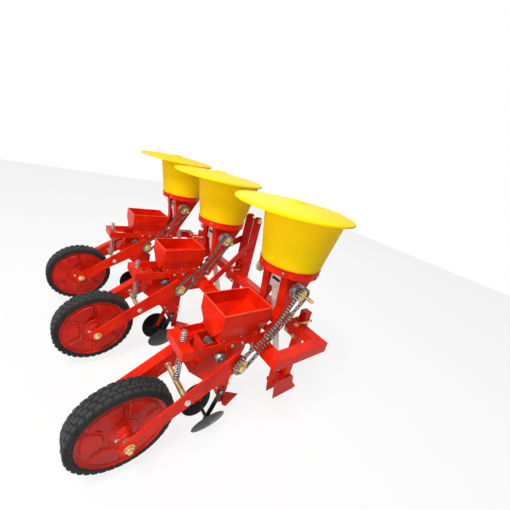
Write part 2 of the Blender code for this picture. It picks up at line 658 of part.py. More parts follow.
# ---- mid shaft and feed shaft with their sprockets, and the feed chain ---------------------------
def shafts():
    mid = fuse(shaft((-0.140, 0.150), PIVOT_Y, PIVOT_Z, 0.010), sprocket(PIVOT_Y, PIVOT_Z),
               shaft((0.1335, 0.146), PIVOT_Y, PIVOT_Z, 0.016, 8), shaft(CASE_SPROCKET, PIVOT_Y, PIVOT_Z, 0.026, 8))
    on_each_row(mid, "mid_shaft", ZINC, (0.0, PIVOT_Y, PIVOT_Z))

    knob = plate([(FEED_Y + (0.0275 + 0.0025 * math.cos(8.0 * angle)) * math.cos(angle),
                   FEED_Z + (0.0275 + 0.0025 * math.cos(8.0 * angle)) * math.sin(angle))
                  for angle in [2.0 * math.pi * i / 16 for i in range(16)]], -0.165, -0.145)
    feed = fuse(shaft((-0.168, 0.180), FEED_Y, FEED_Z, 0.0075, 8), sprocket(FEED_Y, FEED_Z),
                shaft((0.079, 0.112), FEED_Y, FEED_Z, 0.033, 18), shaft((0.1335, 0.146), FEED_Y, FEED_Z, 0.014, 8),
                knob)
    on_each_row(feed, "feed_shaft", STEEL, (0.0, FEED_Y, FEED_Z))

    start, end = (PIVOT_Y, PIVOT_Z), (FEED_Y, FEED_Z)
    near = plate(chain_line(start, end, PITCH_RADIUS + 0.0055), SPROCKET_X + 0.0035, SPROCKET_X + 0.0060,
                 [chain_line(start, end, PITCH_RADIUS - 0.0055)])
    far = plate(chain_line(start, end, PITCH_RADIUS + 0.0055), SPROCKET_X - 0.0060, SPROCKET_X - 0.0035,
                [chain_line(start, end, PITCH_RADIUS - 0.0055)])
    chain = near
    run = Vector((end[0] - start[0], end[1] - start[1]))
    across = Vector((-run.y, run.x)).normalized() * PITCH_RADIUS
    for i in range(2):
        for side in (-1.0, 1.0):
            place = Vector(start) + run * (0.25 + 0.5 * i) + across * side
            chain = fuse(chain, shaft((SPROCKET_X - 0.005, SPROCKET_X + 0.005), place.x, place.y, 0.004, 6))
    on_each_row(fuse(chain, far), "feed_chain", CHAIN)


# ---- fertilizer stand: two side plates under a round seat for the hopper -------------------------
OUTLET_Y = FEED_Y - 0.010


def fertilizer_stand():
    floor = HOPPER_FLOOR - 0.0005
    sheet = 0.004
    foot = RAIL_BOTTOM + 0.0002
    outline = [(0.142, foot), (0.195, foot), (0.358, floor - 0.002), (0.180, floor - 0.002), (0.201, 0.627),
               (0.190, 0.592), (0.168, 0.567), (0.142, 0.556)]
    low_x = RAIL_X + GAP
    side = plate(outline, low_x, low_x + sheet, [bore(FEED_Y, FEED_Z, 0.0075)])
    rear_edge = [(0.180, floor - 0.002), (0.201, 0.627), (0.190, 0.592), (0.168, 0.567)]
    flange = plate(rear_edge + [(y + 0.004, z) for y, z in reversed(rear_edge)], low_x - 0.034, low_x + 0.001)
    side = fuse(side, flange)
    seat = turned([(0.0, floor), (RING_RADIUS - 0.002, floor), (RING_RADIUS - 0.002, 0.8193),
                   (RING_RADIUS, 0.8193), (RING_RADIUS, floor - 0.003), (0.0, floor - 0.003)],
                  (0.0, HOPPER_Y, 0.0), sides=20)
    seat = cut(seat, cylinder((0.0, OUTLET_Y, floor - 0.02), (0.0, OUTLET_Y, floor + 0.02), 0.020, 10))
    stand = fuse(seat, *with_mirror(side))
    on_each_row(stand, "fertilizer_stand", RED)


# ---- fertilizer hopper: open plastic tub, and its overhanging lid --------------------------------
def hopper():
    floor, top = HOPPER_FLOOR, HOPPER_TOP
    radius = HOPPER_RADIUS
    tub = turned([(0.0, floor + 0.003), (0.1262, floor + 0.003), (radius - 0.0027, top), (radius, top),
                  (0.1308, 0.8193), (0.1290, floor), (0.0, floor)], (0.0, HOPPER_Y, 0.0), sides=20)
    tub = cut(tub, cylinder((0.0, OUTLET_Y, floor - 0.02), (0.0, OUTLET_Y, floor + 0.02), 0.020, 10))
    on_each_row(tub, "hopper", YELLOW)

    rest = top + GAP
    dome = [(0.0, 1.0800), (0.030, 1.0790), (0.130, 1.0710), (LID_RADIUS, 1.0535), (LID_RADIUS, rest - 0.004)]
    under = [(LID_RADIUS - 0.0025, rest - 0.004), (LID_RADIUS - 0.0045, 1.0518), (0.130, 1.0683), (0.0, 1.0735)]
    lid = turned(dome + under, (0.0, LID_Y, 0.0), sides=20)
    skirt = turned([(0.1740, 1.0560), (0.1740, rest), (0.1640, rest), (0.1640, rest - 0.009),
                    (0.1610, rest - 0.009), (0.1610, 1.0590)], (0.0, HOPPER_Y, 0.0), sides=14)
    on_each_row(fuse(lid, skirt), "hopper_lid", YELLOW, (0.0, HOPPER_Y, rest))


# ---- drop funnel: plastic meter housing round the feed shaft and the hose to the opener ----------
def drop_funnel():
    rear, front = FEED_Y - 0.040, FEED_Y + 0.022
    housing = box((-0.036, 0.036), (rear, front), (0.690, 0.756))
    neck = box((-0.024, 0.024), (rear + 0.004, front - 0.004), (0.755, HOPPER_FLOOR - 0.0038))
    cone = turned([(0.0, 0.691), (0.030, 0.691), (0.0175, 0.632), (0.0, 0.632)],
                  (0.0, FEED_Y - 0.010, 0.0), sides=14)
    hose = wire([(0.0, FEED_Y - 0.010, 0.636), (0.002, FEED_Y + 0.004, 0.590), (0.006, FEED_Y + 0.035, 0.500),
                 (0.014, FEED_Y + 0.072, 0.380), (0.022, FEED_Y + 0.102, 0.280), (OPENER_X, TUBE_Y, 0.240), (OPENER_X, TUBE_Y, 0.2165)],
                0.0155, 2)
    funnel = cut(fuse(housing, neck, cone, hose), shaft((-0.05, 0.05), FEED_Y, FEED_Z, bore_radius(0.0075)))
    on_each_row(funnel, "drop_funnel", PLASTIC)


# ---- fertilizer opener: shank clamped to the front beam, with the furrow boot --------------------
TUBE_Y = AXLE_Y + 0.735
SHANK = (FRONT_BEAM_Y + 0.0004, FRONT_BEAM_Y + 0.0404)
CLAMP = (FRONT_BEAM_Y - TUBE - 0.0083, FRONT_BEAM_Y - TUBE - GAP)
CLAMP_BOLT_Z = (0.425, 0.4915)


def fertilizer_opener():
    shank = box((-0.020, 0.020), SHANK, (0.095, 0.540))
    wing_outline = [from_axle(*point) for point in (
        (0.745, 0.115), (0.771, 0.0), (0.930, 0.008), (0.944, 0.021), (0.903, 0.068), (0.888, 0.118),
        (0.848, 0.127), (0.766, 0.127))]
    wing = plate(wing_outline, 0.0265, 0.030)
    nose = plate([from_axle(*point) for point in (
        (0.858, 0.112), (0.862, 0.0045), (0.930, 0.008), (0.9435, 0.021), (0.9025, 0.068), (0.887, 0.117))],
        -0.027, 0.027)
    outlet = cylinder((0.0, TUBE_Y, 0.213), (0.0, TUBE_Y + 0.012, 0.090), 0.018, 12)
    web = box((-0.0268, 0.0268), (TUBE_Y + 0.002, SHANK[0] + 0.003), (0.103, 0.121))
    clamp = box((-0.042, 0.042), CLAMP, (0.413, 0.504))
    opener = fuse(shank, nose, web, outlet, *with_mirror(wing))
    radius = 0.0046
    for z in CLAMP_BOLT_Z:
        bolt = u_bolt((-0.0206, 0.0206), (CLAMP[0] - 0.012, SHANK[1] - 0.0005), (z - radius, z + radius), radius, (1, 0))
        opener = fuse(opener, bolt)
    opener = fuse(opener, clamp)
    opener.data.transform(Matrix.Translation((OPENER_X, 0.0, 0.0)))
    on_each_row(opener, "fertilizer_opener", RED)


main_frame()
hitch()
unit_frame()
seed_metering()
covering_discs()
press_wheel()
arms()
spring_rod()
shafts()
fertilizer_stand()
hopper()
drop_funnel()
fertilizer_opener()
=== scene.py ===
import math

import bmesh
import bpy
from mathutils import Matrix, Vector


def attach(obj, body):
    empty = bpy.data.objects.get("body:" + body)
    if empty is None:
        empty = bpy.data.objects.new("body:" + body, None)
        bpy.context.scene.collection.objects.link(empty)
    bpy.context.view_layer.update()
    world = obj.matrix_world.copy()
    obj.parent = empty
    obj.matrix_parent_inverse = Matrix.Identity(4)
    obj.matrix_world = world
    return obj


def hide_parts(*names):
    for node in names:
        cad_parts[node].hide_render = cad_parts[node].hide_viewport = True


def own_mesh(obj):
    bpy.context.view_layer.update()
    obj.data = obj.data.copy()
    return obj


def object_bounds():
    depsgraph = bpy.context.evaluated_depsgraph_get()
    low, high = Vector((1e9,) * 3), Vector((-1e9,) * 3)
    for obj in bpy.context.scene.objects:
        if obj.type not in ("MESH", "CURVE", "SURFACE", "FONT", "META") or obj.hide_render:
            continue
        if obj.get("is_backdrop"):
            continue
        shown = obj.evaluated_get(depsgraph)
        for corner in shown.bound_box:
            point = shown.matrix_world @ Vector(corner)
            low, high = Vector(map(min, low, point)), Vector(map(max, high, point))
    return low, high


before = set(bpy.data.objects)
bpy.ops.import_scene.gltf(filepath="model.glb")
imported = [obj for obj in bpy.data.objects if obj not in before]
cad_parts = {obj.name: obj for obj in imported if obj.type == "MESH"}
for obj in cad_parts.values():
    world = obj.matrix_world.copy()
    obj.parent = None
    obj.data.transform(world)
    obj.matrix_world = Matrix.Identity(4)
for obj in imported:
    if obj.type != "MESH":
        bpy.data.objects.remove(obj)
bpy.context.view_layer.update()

# ---- Camera, floor and light --------------------------------------------------------------------
# The planter stands on a pale studio floor. It is seen from behind and from its right, close to the
# near row with a wide lens, and the camera is rolled so that uprights lean to the right.
AXLE = Vector((0.0, -0.3839, 0.224))
forward = Vector((-0.7036, 0.6292, -0.3304)).normalized()
roll = math.radians(14.505)
level = forward.cross(Vector((0.0, 0.0, 1.0))).normalized()
upright = level.cross(forward)
image_x = math.cos(roll) * level + math.sin(roll) * upright
image_y = math.cos(roll) * upright - math.sin(roll) * level
camera = bpy.data.objects.new("camera", bpy.data.cameras.new("camera"))
camera.data.lens = 19.03
camera.data.sensor_width = 36.0
camera.data.clip_start = 0.02
camera.matrix_world = Matrix.Translation((1.325, AXLE.y - 0.219, 1.193)) @ Matrix(
    (image_x, image_y, -forward)).transposed().to_4x4()
bpy.context.collection.objects.link(camera)
bpy.context.scene.camera = camera
bpy.context.scene.view_settings.view_transform = "Standard"


def add_node(tree, kind, values=None, feeds=None, **settings):
    """A node with its settings, the values of its sockets and the sockets that feed it."""
    made = tree.nodes.new(kind)
    for name, value in settings.items():
        setattr(made, name, value)
    for socket, value in (values or {}).items():
        made.inputs[socket].default_value = value
    for socket, source in (feeds or {}).items():
        tree.links.new(source, made.inputs[socket])
    return made


def shown_in(tree):
    """A socket that is 1 for what the camera sees, straight or mirrored, and 0 for light that falls."""
    rays = add_node(tree, "ShaderNodeLightPath").outputs
    either = add_node(tree, "ShaderNodeMath", None, {0: rays["Is Camera Ray"], 1: rays["Is Glossy Ray"]},
                      operation="MAXIMUM")
    return either.outputs["Value"]


AMBIENT = 0.24  # how much light the sky gives; where it is seen it is white
world = bpy.data.worlds.new("studio")
bpy.context.scene.world = world
world.use_nodes = True
strength = add_node(world.node_tree, "ShaderNodeMapRange", {"To Min": AMBIENT, "To Max": 1.0},
                    {"Value": shown_in(world.node_tree)})
sky = world.node_tree.nodes["Background"]
sky.inputs["Color"].default_value = (1.0, 1.0, 1.0, 1.0)
world.node_tree.links.new(strength.outputs["Result"], sky.inputs["Strength"])


def area_light(name, place, target, size, power):
    """A square soft box that faces its target."""
    lamp = bpy.data.objects.new(name, bpy.data.lights.new(name, "AREA"))
    lamp.data.energy = power
    lamp.data.size = size
    lamp.location = place
    lamp.rotation_euler = (Vector(target) - Vector(place)).to_track_quat("-Z", "Y").to_euler()
    bpy.context.collection.objects.link(lamp)


area_light("key", (1.35, -1.9, 3.9), (0.2, 0.0, 0.5), 1.2, 138.0)
area_light("fill", (1.2, -3.5, 1.7), (0.1, 0.0, 0.5), 2.2, 50.0)
area_light("rim", (-2.4, 2.6, 3.0), (0.0, 0.0, 0.6), 2.4, 34.0)

FLOOR_HALF, FLOOR_Z = 6.0, -0.0012
FLOOR_GLOW = 0.84  # the share of the floor that shows as plain white, so that it stays pale
floor_mesh = bpy.data.meshes.new("floor")
floor_mesh.from_pydata([(x * FLOOR_HALF, y * FLOOR_HALF, FLOOR_Z) for x, y in ((-1, -1), (1, -1), (1, 1), (-1, 1))],
                       [], [(0, 1, 2, 3)])
floor = bpy.data.objects.new("floor", floor_mesh)
bpy.context.collection.objects.link(floor)
pale = bpy.data.materials.new("pale_floor")
pale.use_nodes = True
tree = pale.node_tree
tree.nodes.remove(tree.nodes["Principled BSDF"])
lit = add_node(tree, "ShaderNodeBsdfDiffuse", {"Color": (0.92, 0.92, 0.92, 1.0)})
glow = add_node(tree, "ShaderNodeEmission", {"Strength": 1.0})
cover = add_node(tree, "ShaderNodeMath", {1: FLOOR_GLOW}, {0: shown_in(tree)}, operation="MULTIPLY")
share = add_node(tree, "ShaderNodeMixShader", None,
                 {"Fac": cover.outputs["Value"], 1: lit.outputs["BSDF"], 2: glow.outputs["Emission"]})
tree.links.new(share.outputs["Shader"], tree.nodes["Material Output"].inputs["Surface"])
floor.data.materials.append(pale)
floor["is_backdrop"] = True

# ---- Main frame ---------------------------------------------------------------------------------
# A rectangle of 50 mm square steel tube, mitred and welded at its corners and sprayed with glossy
# red-orange paint. The two lower-link lugs with their pins are welded on its front beam.
FRAME_X = (-0.745, 0.805)
FRAME_Y = (0.116, 0.4406)
FRAME_TOP = 0.4833


def node_group(name, kind, inputs, outputs):
    """An empty node group with named sockets, its input node's sockets and its output node's."""
    group = bpy.data.node_groups.new(name, kind)
    for way, sockets in (("INPUT", inputs), ("OUTPUT", outputs)):
        for socket, form in sockets.items():
            group.interface.new_socket(socket, in_out=way, socket_type=f"NodeSocket{form}")
    return group, group.nodes.new("NodeGroupInput").outputs, group.nodes.new("NodeGroupOutput").inputs


def worn_and_highlit_surface():
    """The shader group that rounds edges, marks them for wear and for painted highlights, and adds grain and slow
    variation.
    """
    group, given, result = node_group(
        "worn_and_highlit_surface", "ShaderNodeTree",
        {"Edge Radius": "Float", "Grain Scale": "Float", "Grain Depth": "Float", "Patch Scale": "Float"},
        {"Edge": "Float", "Patch": "Float", "Normal": "Vector"})
    place = add_node(group, "ShaderNodeTexCoord").outputs["Object"]
    rounded = add_node(group, "ShaderNodeBevel", None, {"Radius": given["Edge Radius"]}, samples=4).outputs["Normal"]
    true = add_node(group, "ShaderNodeNewGeometry").outputs["Normal"]
    apart = add_node(group, "ShaderNodeVectorMath", None, {0: rounded, 1: true}, operation="DOT_PRODUCT")
    # Edges, where the rounded normal turns from the true one, broken up by noise: wear on most finishes and a painted
    # highlight on the red ones.
    rim = add_node(group, "ShaderNodeMapRange", {"From Min": 0.995, "From Max": 0.86},
                   {"Value": apart.outputs["Value"]})
    chip_and_glint_noise = add_node(group, "ShaderNodeTexNoise", {"Scale": 90.0, "Detail": 5.0}, {"Vector": place})
    chosen = add_node(group, "ShaderNodeMapRange", {"From Min": 0.46, "From Max": 0.62},
                      {"Value": chip_and_glint_noise.outputs["Fac"]})
    edge = add_node(group, "ShaderNodeMath", None, {0: rim.outputs["Result"], 1: chosen.outputs["Result"]},
                    operation="MULTIPLY")
    patch = add_node(group, "ShaderNodeTexNoise", {"Detail": 4.0}, {"Scale": given["Patch Scale"], "Vector": place})
    grain = add_node(group, "ShaderNodeTexNoise", {"Detail": 3.0}, {"Scale": given["Grain Scale"], "Vector": place})
    bump = add_node(group, "ShaderNodeBump", {"Distance": 0.0006},
                    {"Strength": given["Grain Depth"], "Height": grain.outputs["Fac"], "Normal": rounded})
    for name, source in (("Edge", edge.outputs["Value"]), ("Patch", patch.outputs["Fac"]),
                         ("Normal", bump.outputs["Normal"])):
        group.links.new(source, result[name])
    return group


WORN_AND_HIGHLIT = worn_and_highlit_surface()


def surface(name, light, dark, wear_and_highlight_color, rough, metallic=0.0, grain=(900.0, 0.10), patch=14.0, radius=0.0012,
            wear_and_highlight_share=0.5, specular=0.4):
    """A finish: two tones in patches, its edges in a third (wear on most finishes, a painted highlight on the red
    ones), and roughness that follows the patches.
    """
    made = bpy.data.materials.new(name)
    made.use_nodes = True
    tree = made.node_tree
    worn_and_highlit = add_node(tree, "ShaderNodeGroup", {"Edge Radius": radius, "Grain Scale": grain[0], "Grain Depth": grain[1],
                                              "Patch Scale": patch}, node_tree=WORN_AND_HIGHLIT).outputs
    spread = add_node(tree, "ShaderNodeMapRange", {"From Min": 0.33, "From Max": 0.62}, {"Value": worn_and_highlit["Patch"]})
    tones = add_node(tree, "ShaderNodeMix", {"A": (*dark, 1.0), "B": (*light, 1.0)},
                     {"Factor": spread.outputs["Result"]}, data_type="RGBA")
    share = add_node(tree, "ShaderNodeMath", {1: wear_and_highlight_share}, {0: worn_and_highlit["Edge"]}, operation="MULTIPLY")
    edged = add_node(tree, "ShaderNodeMix", {"B": (*wear_and_highlight_color, 1.0)},
                     {"A": tones.outputs["Result"], "Factor": share.outputs["Value"]}, data_type="RGBA")
    roughness = add_node(tree, "ShaderNodeMapRange", {"From Min": 0.3, "From Max": 0.7, "To Min": rough[0],
                                                      "To Max": rough[1]}, {"Value": worn_and_highlit["Patch"]})
    shader = tree.nodes["Principled BSDF"].inputs
    shader["Metallic"].default_value = metallic
    shader["Specular IOR Level"].default_value = specular
    for socket, source in (("Base Color", edged.outputs["Result"]), ("Roughness", roughness.outputs["Result"]),
                           ("Normal", worn_and_highlit["Normal"])):
        tree.links.new(source, shader[socket])
    return made


# The lighter orange at the red paint's edges is a painted highlight along the edges of the frame and plates.
RED = surface("red_enamel", (0.82, 0.020, 0.002), (0.64, 0.010, 0.001), (0.95, 0.15, 0.06), (0.26, 0.40),
              grain=(700.0, 0.06), radius=0.0020, wear_and_highlight_share=0.7, specular=0.11)


SHARPEST = math.radians(38.0)  # a turn of the surface past this shows as an edge


def finished(mesh, name, look, body, nodes=()):
    """An object of one material that rides on a body and may stand for CAD nodes."""
    mesh.name = name
    mesh.materials.clear()
    mesh.materials.append(look)
    mesh.shade_smooth()
    mesh.set_sharp_from_angle(angle=SHARPEST)
    made = bpy.data.objects.new(name, mesh)
    bpy.context.collection.objects.link(made)
    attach(made, body)
    if nodes:
        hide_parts(*nodes)
    return made


def coat_node(look, *names):
    """Give CAD nodes that keep their shape their finish."""
    for name in names:
        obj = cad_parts[name]
        obj.data.materials.clear()
        obj.data.materials.append(look)


def mesh_of(shape, outward=True):
    """A bmesh as a mesh, with its faces turned outwards."""
    if outward:
        bmesh.ops.recalc_face_normals(shape, faces=shape.faces)
    mesh = bpy.data.meshes.new("part")
    shape.to_mesh(mesh)
    shape.free()
    return mesh


def joined(*meshes):
    """Several meshes as one."""
    shape = bmesh.new()
    for mesh in meshes:
        shape.from_mesh(mesh)
        bpy.data.meshes.remove(mesh)
    return mesh_of(shape, outward=False)


def mesh_from(holder):
    """The evaluated mesh of a helper object, which is removed."""
    bpy.context.collection.objects.link(holder)
    bpy.context.view_layer.update()
    mesh = bpy.data.meshes.new_from_object(holder.evaluated_get(bpy.context.evaluated_depsgraph_get()))
    bpy.data.objects.remove(holder)
    return mesh


def tube(points, radius, cyclic=False, resolution=4, smooth=False):
    """A round bar or wire along points."""
    curve = bpy.data.curves.new("tube", "CURVE")
    curve.dimensions = "3D"
    curve.bevel_depth = radius
    curve.bevel_resolution = resolution
    curve.use_fill_caps = not cyclic
    spline = curve.splines.new("NURBS" if smooth else "POLY")
    spline.points.add(len(points) - 1)
    for point, place in zip(spline.points, points):
        point.co = (*place, 1.0)
    spline.use_cyclic_u = cyclic
    if smooth:
        spline.order_u = 3
        spline.use_endpoint_u = True
        spline.resolution_u = 6
    mesh = mesh_from(bpy.data.objects.new("tube", curve))
    bpy.data.curves.remove(curve)
    return mesh


BEAD_RADIUS, RIPPLE_PITCH, RIPPLE_DEPTH, BEAD_STEP = 0.0024, 0.0040, 0.22, 0.0016


def weld_bead(start, end):
    """A rippled weld bead between two points."""
    start, end = Vector(start), Vector(end)
    length = (end - start).length
    steps = max(4, int(length / BEAD_STEP))
    mesh = tube([start.lerp(end, i / steps) for i in range(steps + 1)], BEAD_RADIUS, resolution=2)
    for vertex in mesh.vertices:
        along = (vertex.co - start).dot(end - start) / length
        away = vertex.co - start.lerp(end, max(0.0, min(1.0, along / length)))
        vertex.co -= away * RIPPLE_DEPTH * (0.5 + 0.5 * math.sin(along * 2.0 * math.pi / RIPPLE_PITCH))
    return mesh


beads = []
for x, inward in ((FRAME_X[0], 1.0), (FRAME_X[1], -1.0)):
    for y, across in ((FRAME_Y[0], 1.0), (FRAME_Y[1], -1.0)):
        beads.append(weld_bead(*[(x + inward * reach, y + across * reach, FRAME_TOP + 0.0002)
                                 for reach in (0.002, 0.048)]))
coat_node(RED, "main_frame")
finished(joined(*beads), "frame_welds", RED, "machine")

# ---- Hitch mast ---------------------------------------------------------------------------------
# Two upright flat bars on the front beam, braced back to the rear beam, with the zinc-plated pin
# for the tractor's top link through their heads.
ZINC = surface("yellow_zinc_plate", (0.80, 0.60, 0.28), (0.58, 0.40, 0.17), (0.90, 0.80, 0.60), (0.22, 0.40), 0.85,
               grain=(1200.0, 0.08), patch=60.0, radius=0.0006)
STEEL = surface("bright_steel", (0.80, 0.80, 0.79), (0.58, 0.58, 0.57), (0.90, 0.90, 0.89), (0.22, 0.38), 0.85,
                grain=(1500.0, 0.08), patch=70.0, radius=0.0006)


def angles(count):
    """So many equal steps of a full turn, in radians."""
    return [2 * math.pi * i / count for i in range(count)]


def skin(shape, rings):
    """Faces between each ring of vertices and the next. Where a ring is one vertex they are triangles."""
    for low, high in zip(rings, rings[1:]):
        for i in range(len(low)):
            j = (i + 1) % len(low)
            corners = list(dict.fromkeys((low[i], low[j], high[j], high[i])))
            if len(corners) > 2:
                shape.faces.new(corners)


def turned(profile, centre, axis, sides=48):
    """A profile of (radius, height) turned about an axis direction through centre."""
    shape = bmesh.new()
    rings = []
    for radius, height in profile:
        if radius < 1e-6:
            rings.append([shape.verts.new((0.0, 0.0, height))] * sides)
        else:
            rings.append([shape.verts.new((radius * math.cos(angle), radius * math.sin(angle), height))
                          for angle in angles(sides)])
    if profile[0][0] > 1e-6:
        rings.append(rings[0])
    skin(shape, rings)
    mesh = mesh_of(shape)
    turn = Vector(axis).to_track_quat("Z", "Y").to_matrix().to_4x4()
    mesh.transform(Matrix.Translation(centre) @ turn)
    return mesh


coat_node(RED, "hitch_mast")
coat_node(ZINC, "top_link_pin")
CLIP_RADIUS, CLIP_WIRE = 0.0125, 0.0022
link_ring = turned([(CLIP_RADIUS + CLIP_WIRE * math.cos(a), CLIP_WIRE * math.sin(a)) for a in angles(10)],
                   (0.0935, 0.477, 0.838), (0, 1, 0.3), 32)
finished(link_ring, "top_link_clip", STEEL, "machine")

# ---- Row unit frame and seed box ----------------------------------------------------------------
# Two folded angle rails with a channel across their rear, plates for the mid shaft, and on top the
# open sheet-metal seed box with a rolled rim. U-bolts hold the rails down on the rear beam.
ROWS = (("right", 0.6), ("middle", 0.0), ("left", -0.6))
CAST = surface("grey_steel", (0.36, 0.35, 0.34), (0.22, 0.21, 0.21), (0.60, 0.59, 0.57), (0.34, 0.52), 0.9,
               grain=(1300.0, 0.14), patch=60.0, radius=0.0006)


def on_rows(mesh, name, look, body, node=None):
    """The same piece on each row: body and node are named without their row."""
    made = []
    for row, x in ROWS:
        copy = mesh.copy()
        copy.transform(Matrix.Translation((x, 0.0, 0.0)))
        rides = body if body == "machine" else f"{body}_{row}"
        made.append(finished(copy, f"{name}_{row}", look, rides, [f"{node}_{row}"] if node else ()))
    bpy.data.meshes.remove(mesh)
    return made


coat_node(RED, *[f"unit_frame_{row}" for row, _ in ROWS])
rim_half, rim_rear, rim_front, rim_top = 0.0840, -0.0907, 0.1364, 0.6530
corner = 0.006
rim = []
for cx, cy, first in ((rim_half - corner, rim_front - corner, 0), (-rim_half + corner, rim_front - corner, 1),
                      (-rim_half + corner, rim_rear + corner, 2), (rim_half - corner, rim_rear + corner, 3)):
    for i in range(6):
        angle = 0.5 * math.pi * (first + i / 5)
        rim.append((cx + corner * math.cos(angle), cy + corner * math.sin(angle), rim_top))
# The rolled rim is painted a lighter orange with still lighter edges: a painted highlight on the seed box's rim.
RIM_HIGHLIGHT_RED = surface("rim_enamel_painted_highlight", (0.95, 0.075, 0.030), (0.85, 0.035, 0.012), (1.0, 0.30, 0.18), (0.22, 0.36),
                     grain=(700.0, 0.06), radius=0.0010, wear_and_highlight_share=1.0, specular=0.30)
on_rows(tube(rim, 0.0028, cyclic=True), "seed_box_rim", RIM_HIGHLIGHT_RED, "machine")


def block(low, high, bevel):
    """A box with rounded edges, made as a mesh."""
    shape = bmesh.new()
    bmesh.ops.create_cube(shape, size=1.0)
    low, high = Vector(low), Vector(high)
    for vertex in shape.verts:
        vertex.co = Vector([0.5 * (low[i] + high[i]) + vertex.co[i] * (high[i] - low[i]) for i in range(3)])
    bmesh.ops.bevel(shape, geom=shape.edges[:], offset=bevel, segments=4, profile=0.5, affect="EDGES")
    return mesh_of(shape, outward=False)


def dome_head(place, axis, radius=0.0085, height=0.0055):
    """A round carriage bolt head with its washer."""
    return turned([(0.0, height), (0.35 * radius, 0.95 * height), (0.68 * radius, 0.72 * height),
                   (0.9 * radius, 0.38 * height), (radius, 0.0), (1.22 * radius, 0.0), (1.22 * radius, -0.0012),
                   (0.0, -0.0012)], place, axis, 24)


def hex_head(place, axis, across=0.013, height=0.006):
    """A hexagon nut or bolt head with a chamfered top."""
    radius = 0.5 * across / math.cos(math.pi / 6)
    body = turned([(0.0, height), (0.86 * radius, height), (radius, 0.84 * height), (radius, 0.0), (0.0, 0.0)],
                  place, axis, 6)
    washer = turned([(0.0, 0.0008), (1.16 * radius, 0.0008), (1.2 * radius, 0.0004), (1.2 * radius, -0.0008),
                     (0.0, -0.0008)], place, axis, 24)
    return joined(body, washer)


PLATE_X, STAND_X, CHUTE_X = 0.0783, 0.0763, 0.040
HOPPER_Y = 0.254
heads = []
for side in (-1.0, 1.0):
    out = (side, 0.0, 0.0)
    for y in (-0.0186, 0.0305):
        heads.append(dome_head((side * PLATE_X, y, 0.5007), out))
    for y in (0.1535, 0.181):
        heads.append(dome_head((side * STAND_X, y, 0.506), out))
    for y, z in ((-0.030, 0.270), (-0.014, 0.243)):
        heads.append(dome_head((side * CHUTE_X, y, z), out, 0.0078, 0.005))
    heads.append(dome_head((side * (CHUTE_X + 0.0055), 0.013, 0.210), out, 0.0078, 0.005))
    for y in (-0.060, 0.020, 0.095):
        heads.append(dome_head((side * 0.0702, y, 0.530), out, 0.0036, 0.0022))
for turn in (30, 75, 140, 185, 250, 305):
    out = Vector((math.cos(math.radians(turn)), math.sin(math.radians(turn)), 0.0))
    heads.append(dome_head(Vector((0.0, HOPPER_Y, 0.803)) + out * 0.1334, out, 0.0042, 0.0024))
on_rows(joined(*heads), "bolt_heads", CAST, "machine")

clamps = []
for x in (-0.056, 0.056):
    for y in (0.1095, 0.1725):
        clamps.append(block((x - 0.0052, y - 0.0052, 0.4230), (x + 0.0052, y + 0.0052, 0.5035), 0.0012))
        clamps.append(hex_head((x, y, 0.4890), (0, 0, 1), 0.0150, 0.0075))
    clamps.append(block((x - 0.0052, 0.1043, 0.4230), (x + 0.0052, 0.1777, 0.4332), 0.0012))
on_rows(joined(*clamps), "rail_u_bolts", ZINC, "machine")

# ---- Seed roller, chute, tine and sweep ---------------------------------------------------------
# A fluted steel roller meters the seed into a folded red chute. The chute's front face is clamped
# to the tine by two plated U-bolts, and the tine carries a forged arrow-shaped sweep.
coat_node(RED, *[f"seed_opener_{row}" for row, _ in ROWS])
ROLLER = Vector((0.0, -0.0625, 0.455))


def ring_of(shape, x, centre, radii):
    """Vertices round the X axis through centre, at x along it and at each radius in turn."""
    return [shape.verts.new((x, centre.y + radius * math.cos(angle), centre.z + radius * math.sin(angle)))
            for radius, angle in zip(radii, angles(len(radii)))]


def sealed(shape):
    """A bmesh as a mesh, after the rings of radius 0 at its ends are merged to points."""
    bmesh.ops.remove_doubles(shape, verts=shape.verts, dist=1e-6)
    return mesh_of(shape)


FLUTES = 12


def fluted_roller():
    """The metering roller on its shaft, fluted where it carries the seed."""
    shape = bmesh.new()
    rings = []
    for x, radius, depth in ((-0.068, 0.0, 0.0), (-0.068, 0.007, 0.0), (-0.060, 0.007, 0.0), (-0.060, 0.0192, 0.0),
                             (-0.059, 0.0200, 0.0), (-0.036, 0.0200, 0.0), (-0.035, 0.0200, 0.0030),
                             (0.035, 0.0200, 0.0030), (0.036, 0.0200, 0.0), (0.0835, 0.0200, 0.0),
                             (0.085, 0.0190, 0.0), (0.085, 0.007, 0.0), (0.093, 0.007, 0.0), (0.093, 0.0, 0.0)):
        rings.append(ring_of(shape, x, ROLLER, [radius - depth * (0.5 + 0.5 * math.cos(FLUTES * angle))
                                                for angle in angles(8 * FLUTES)]))
    skin(shape, rings)
    return sealed(shape)


on_rows(fluted_roller(), "fluted_roller", CAST, "roller", "seed_roller")
TINE_Y = (0.0455, 0.0705)
straps = []
for z in (0.245, 0.208):
    straps.append(block((-0.0185, TINE_Y[0] - 0.0004, z - 0.0041), (0.0185, TINE_Y[1] + 0.0071, z + 0.0041), 0.0016))
    for x in (-0.0142, 0.0142):
        straps.append(turned([(0.0, 0.016), (0.0030, 0.016), (0.0036, 0.0152), (0.0036, 0.0), (0.0, 0.0)],
                             (x, TINE_Y[0] + 0.001, z), (0, -1, 0), 20))
        straps.append(hex_head((x, TINE_Y[0] - 0.0004, z), (0, -1, 0), 0.0115, 0.0060))
on_rows(joined(*straps), "tine_u_bolts", ZINC, "machine")

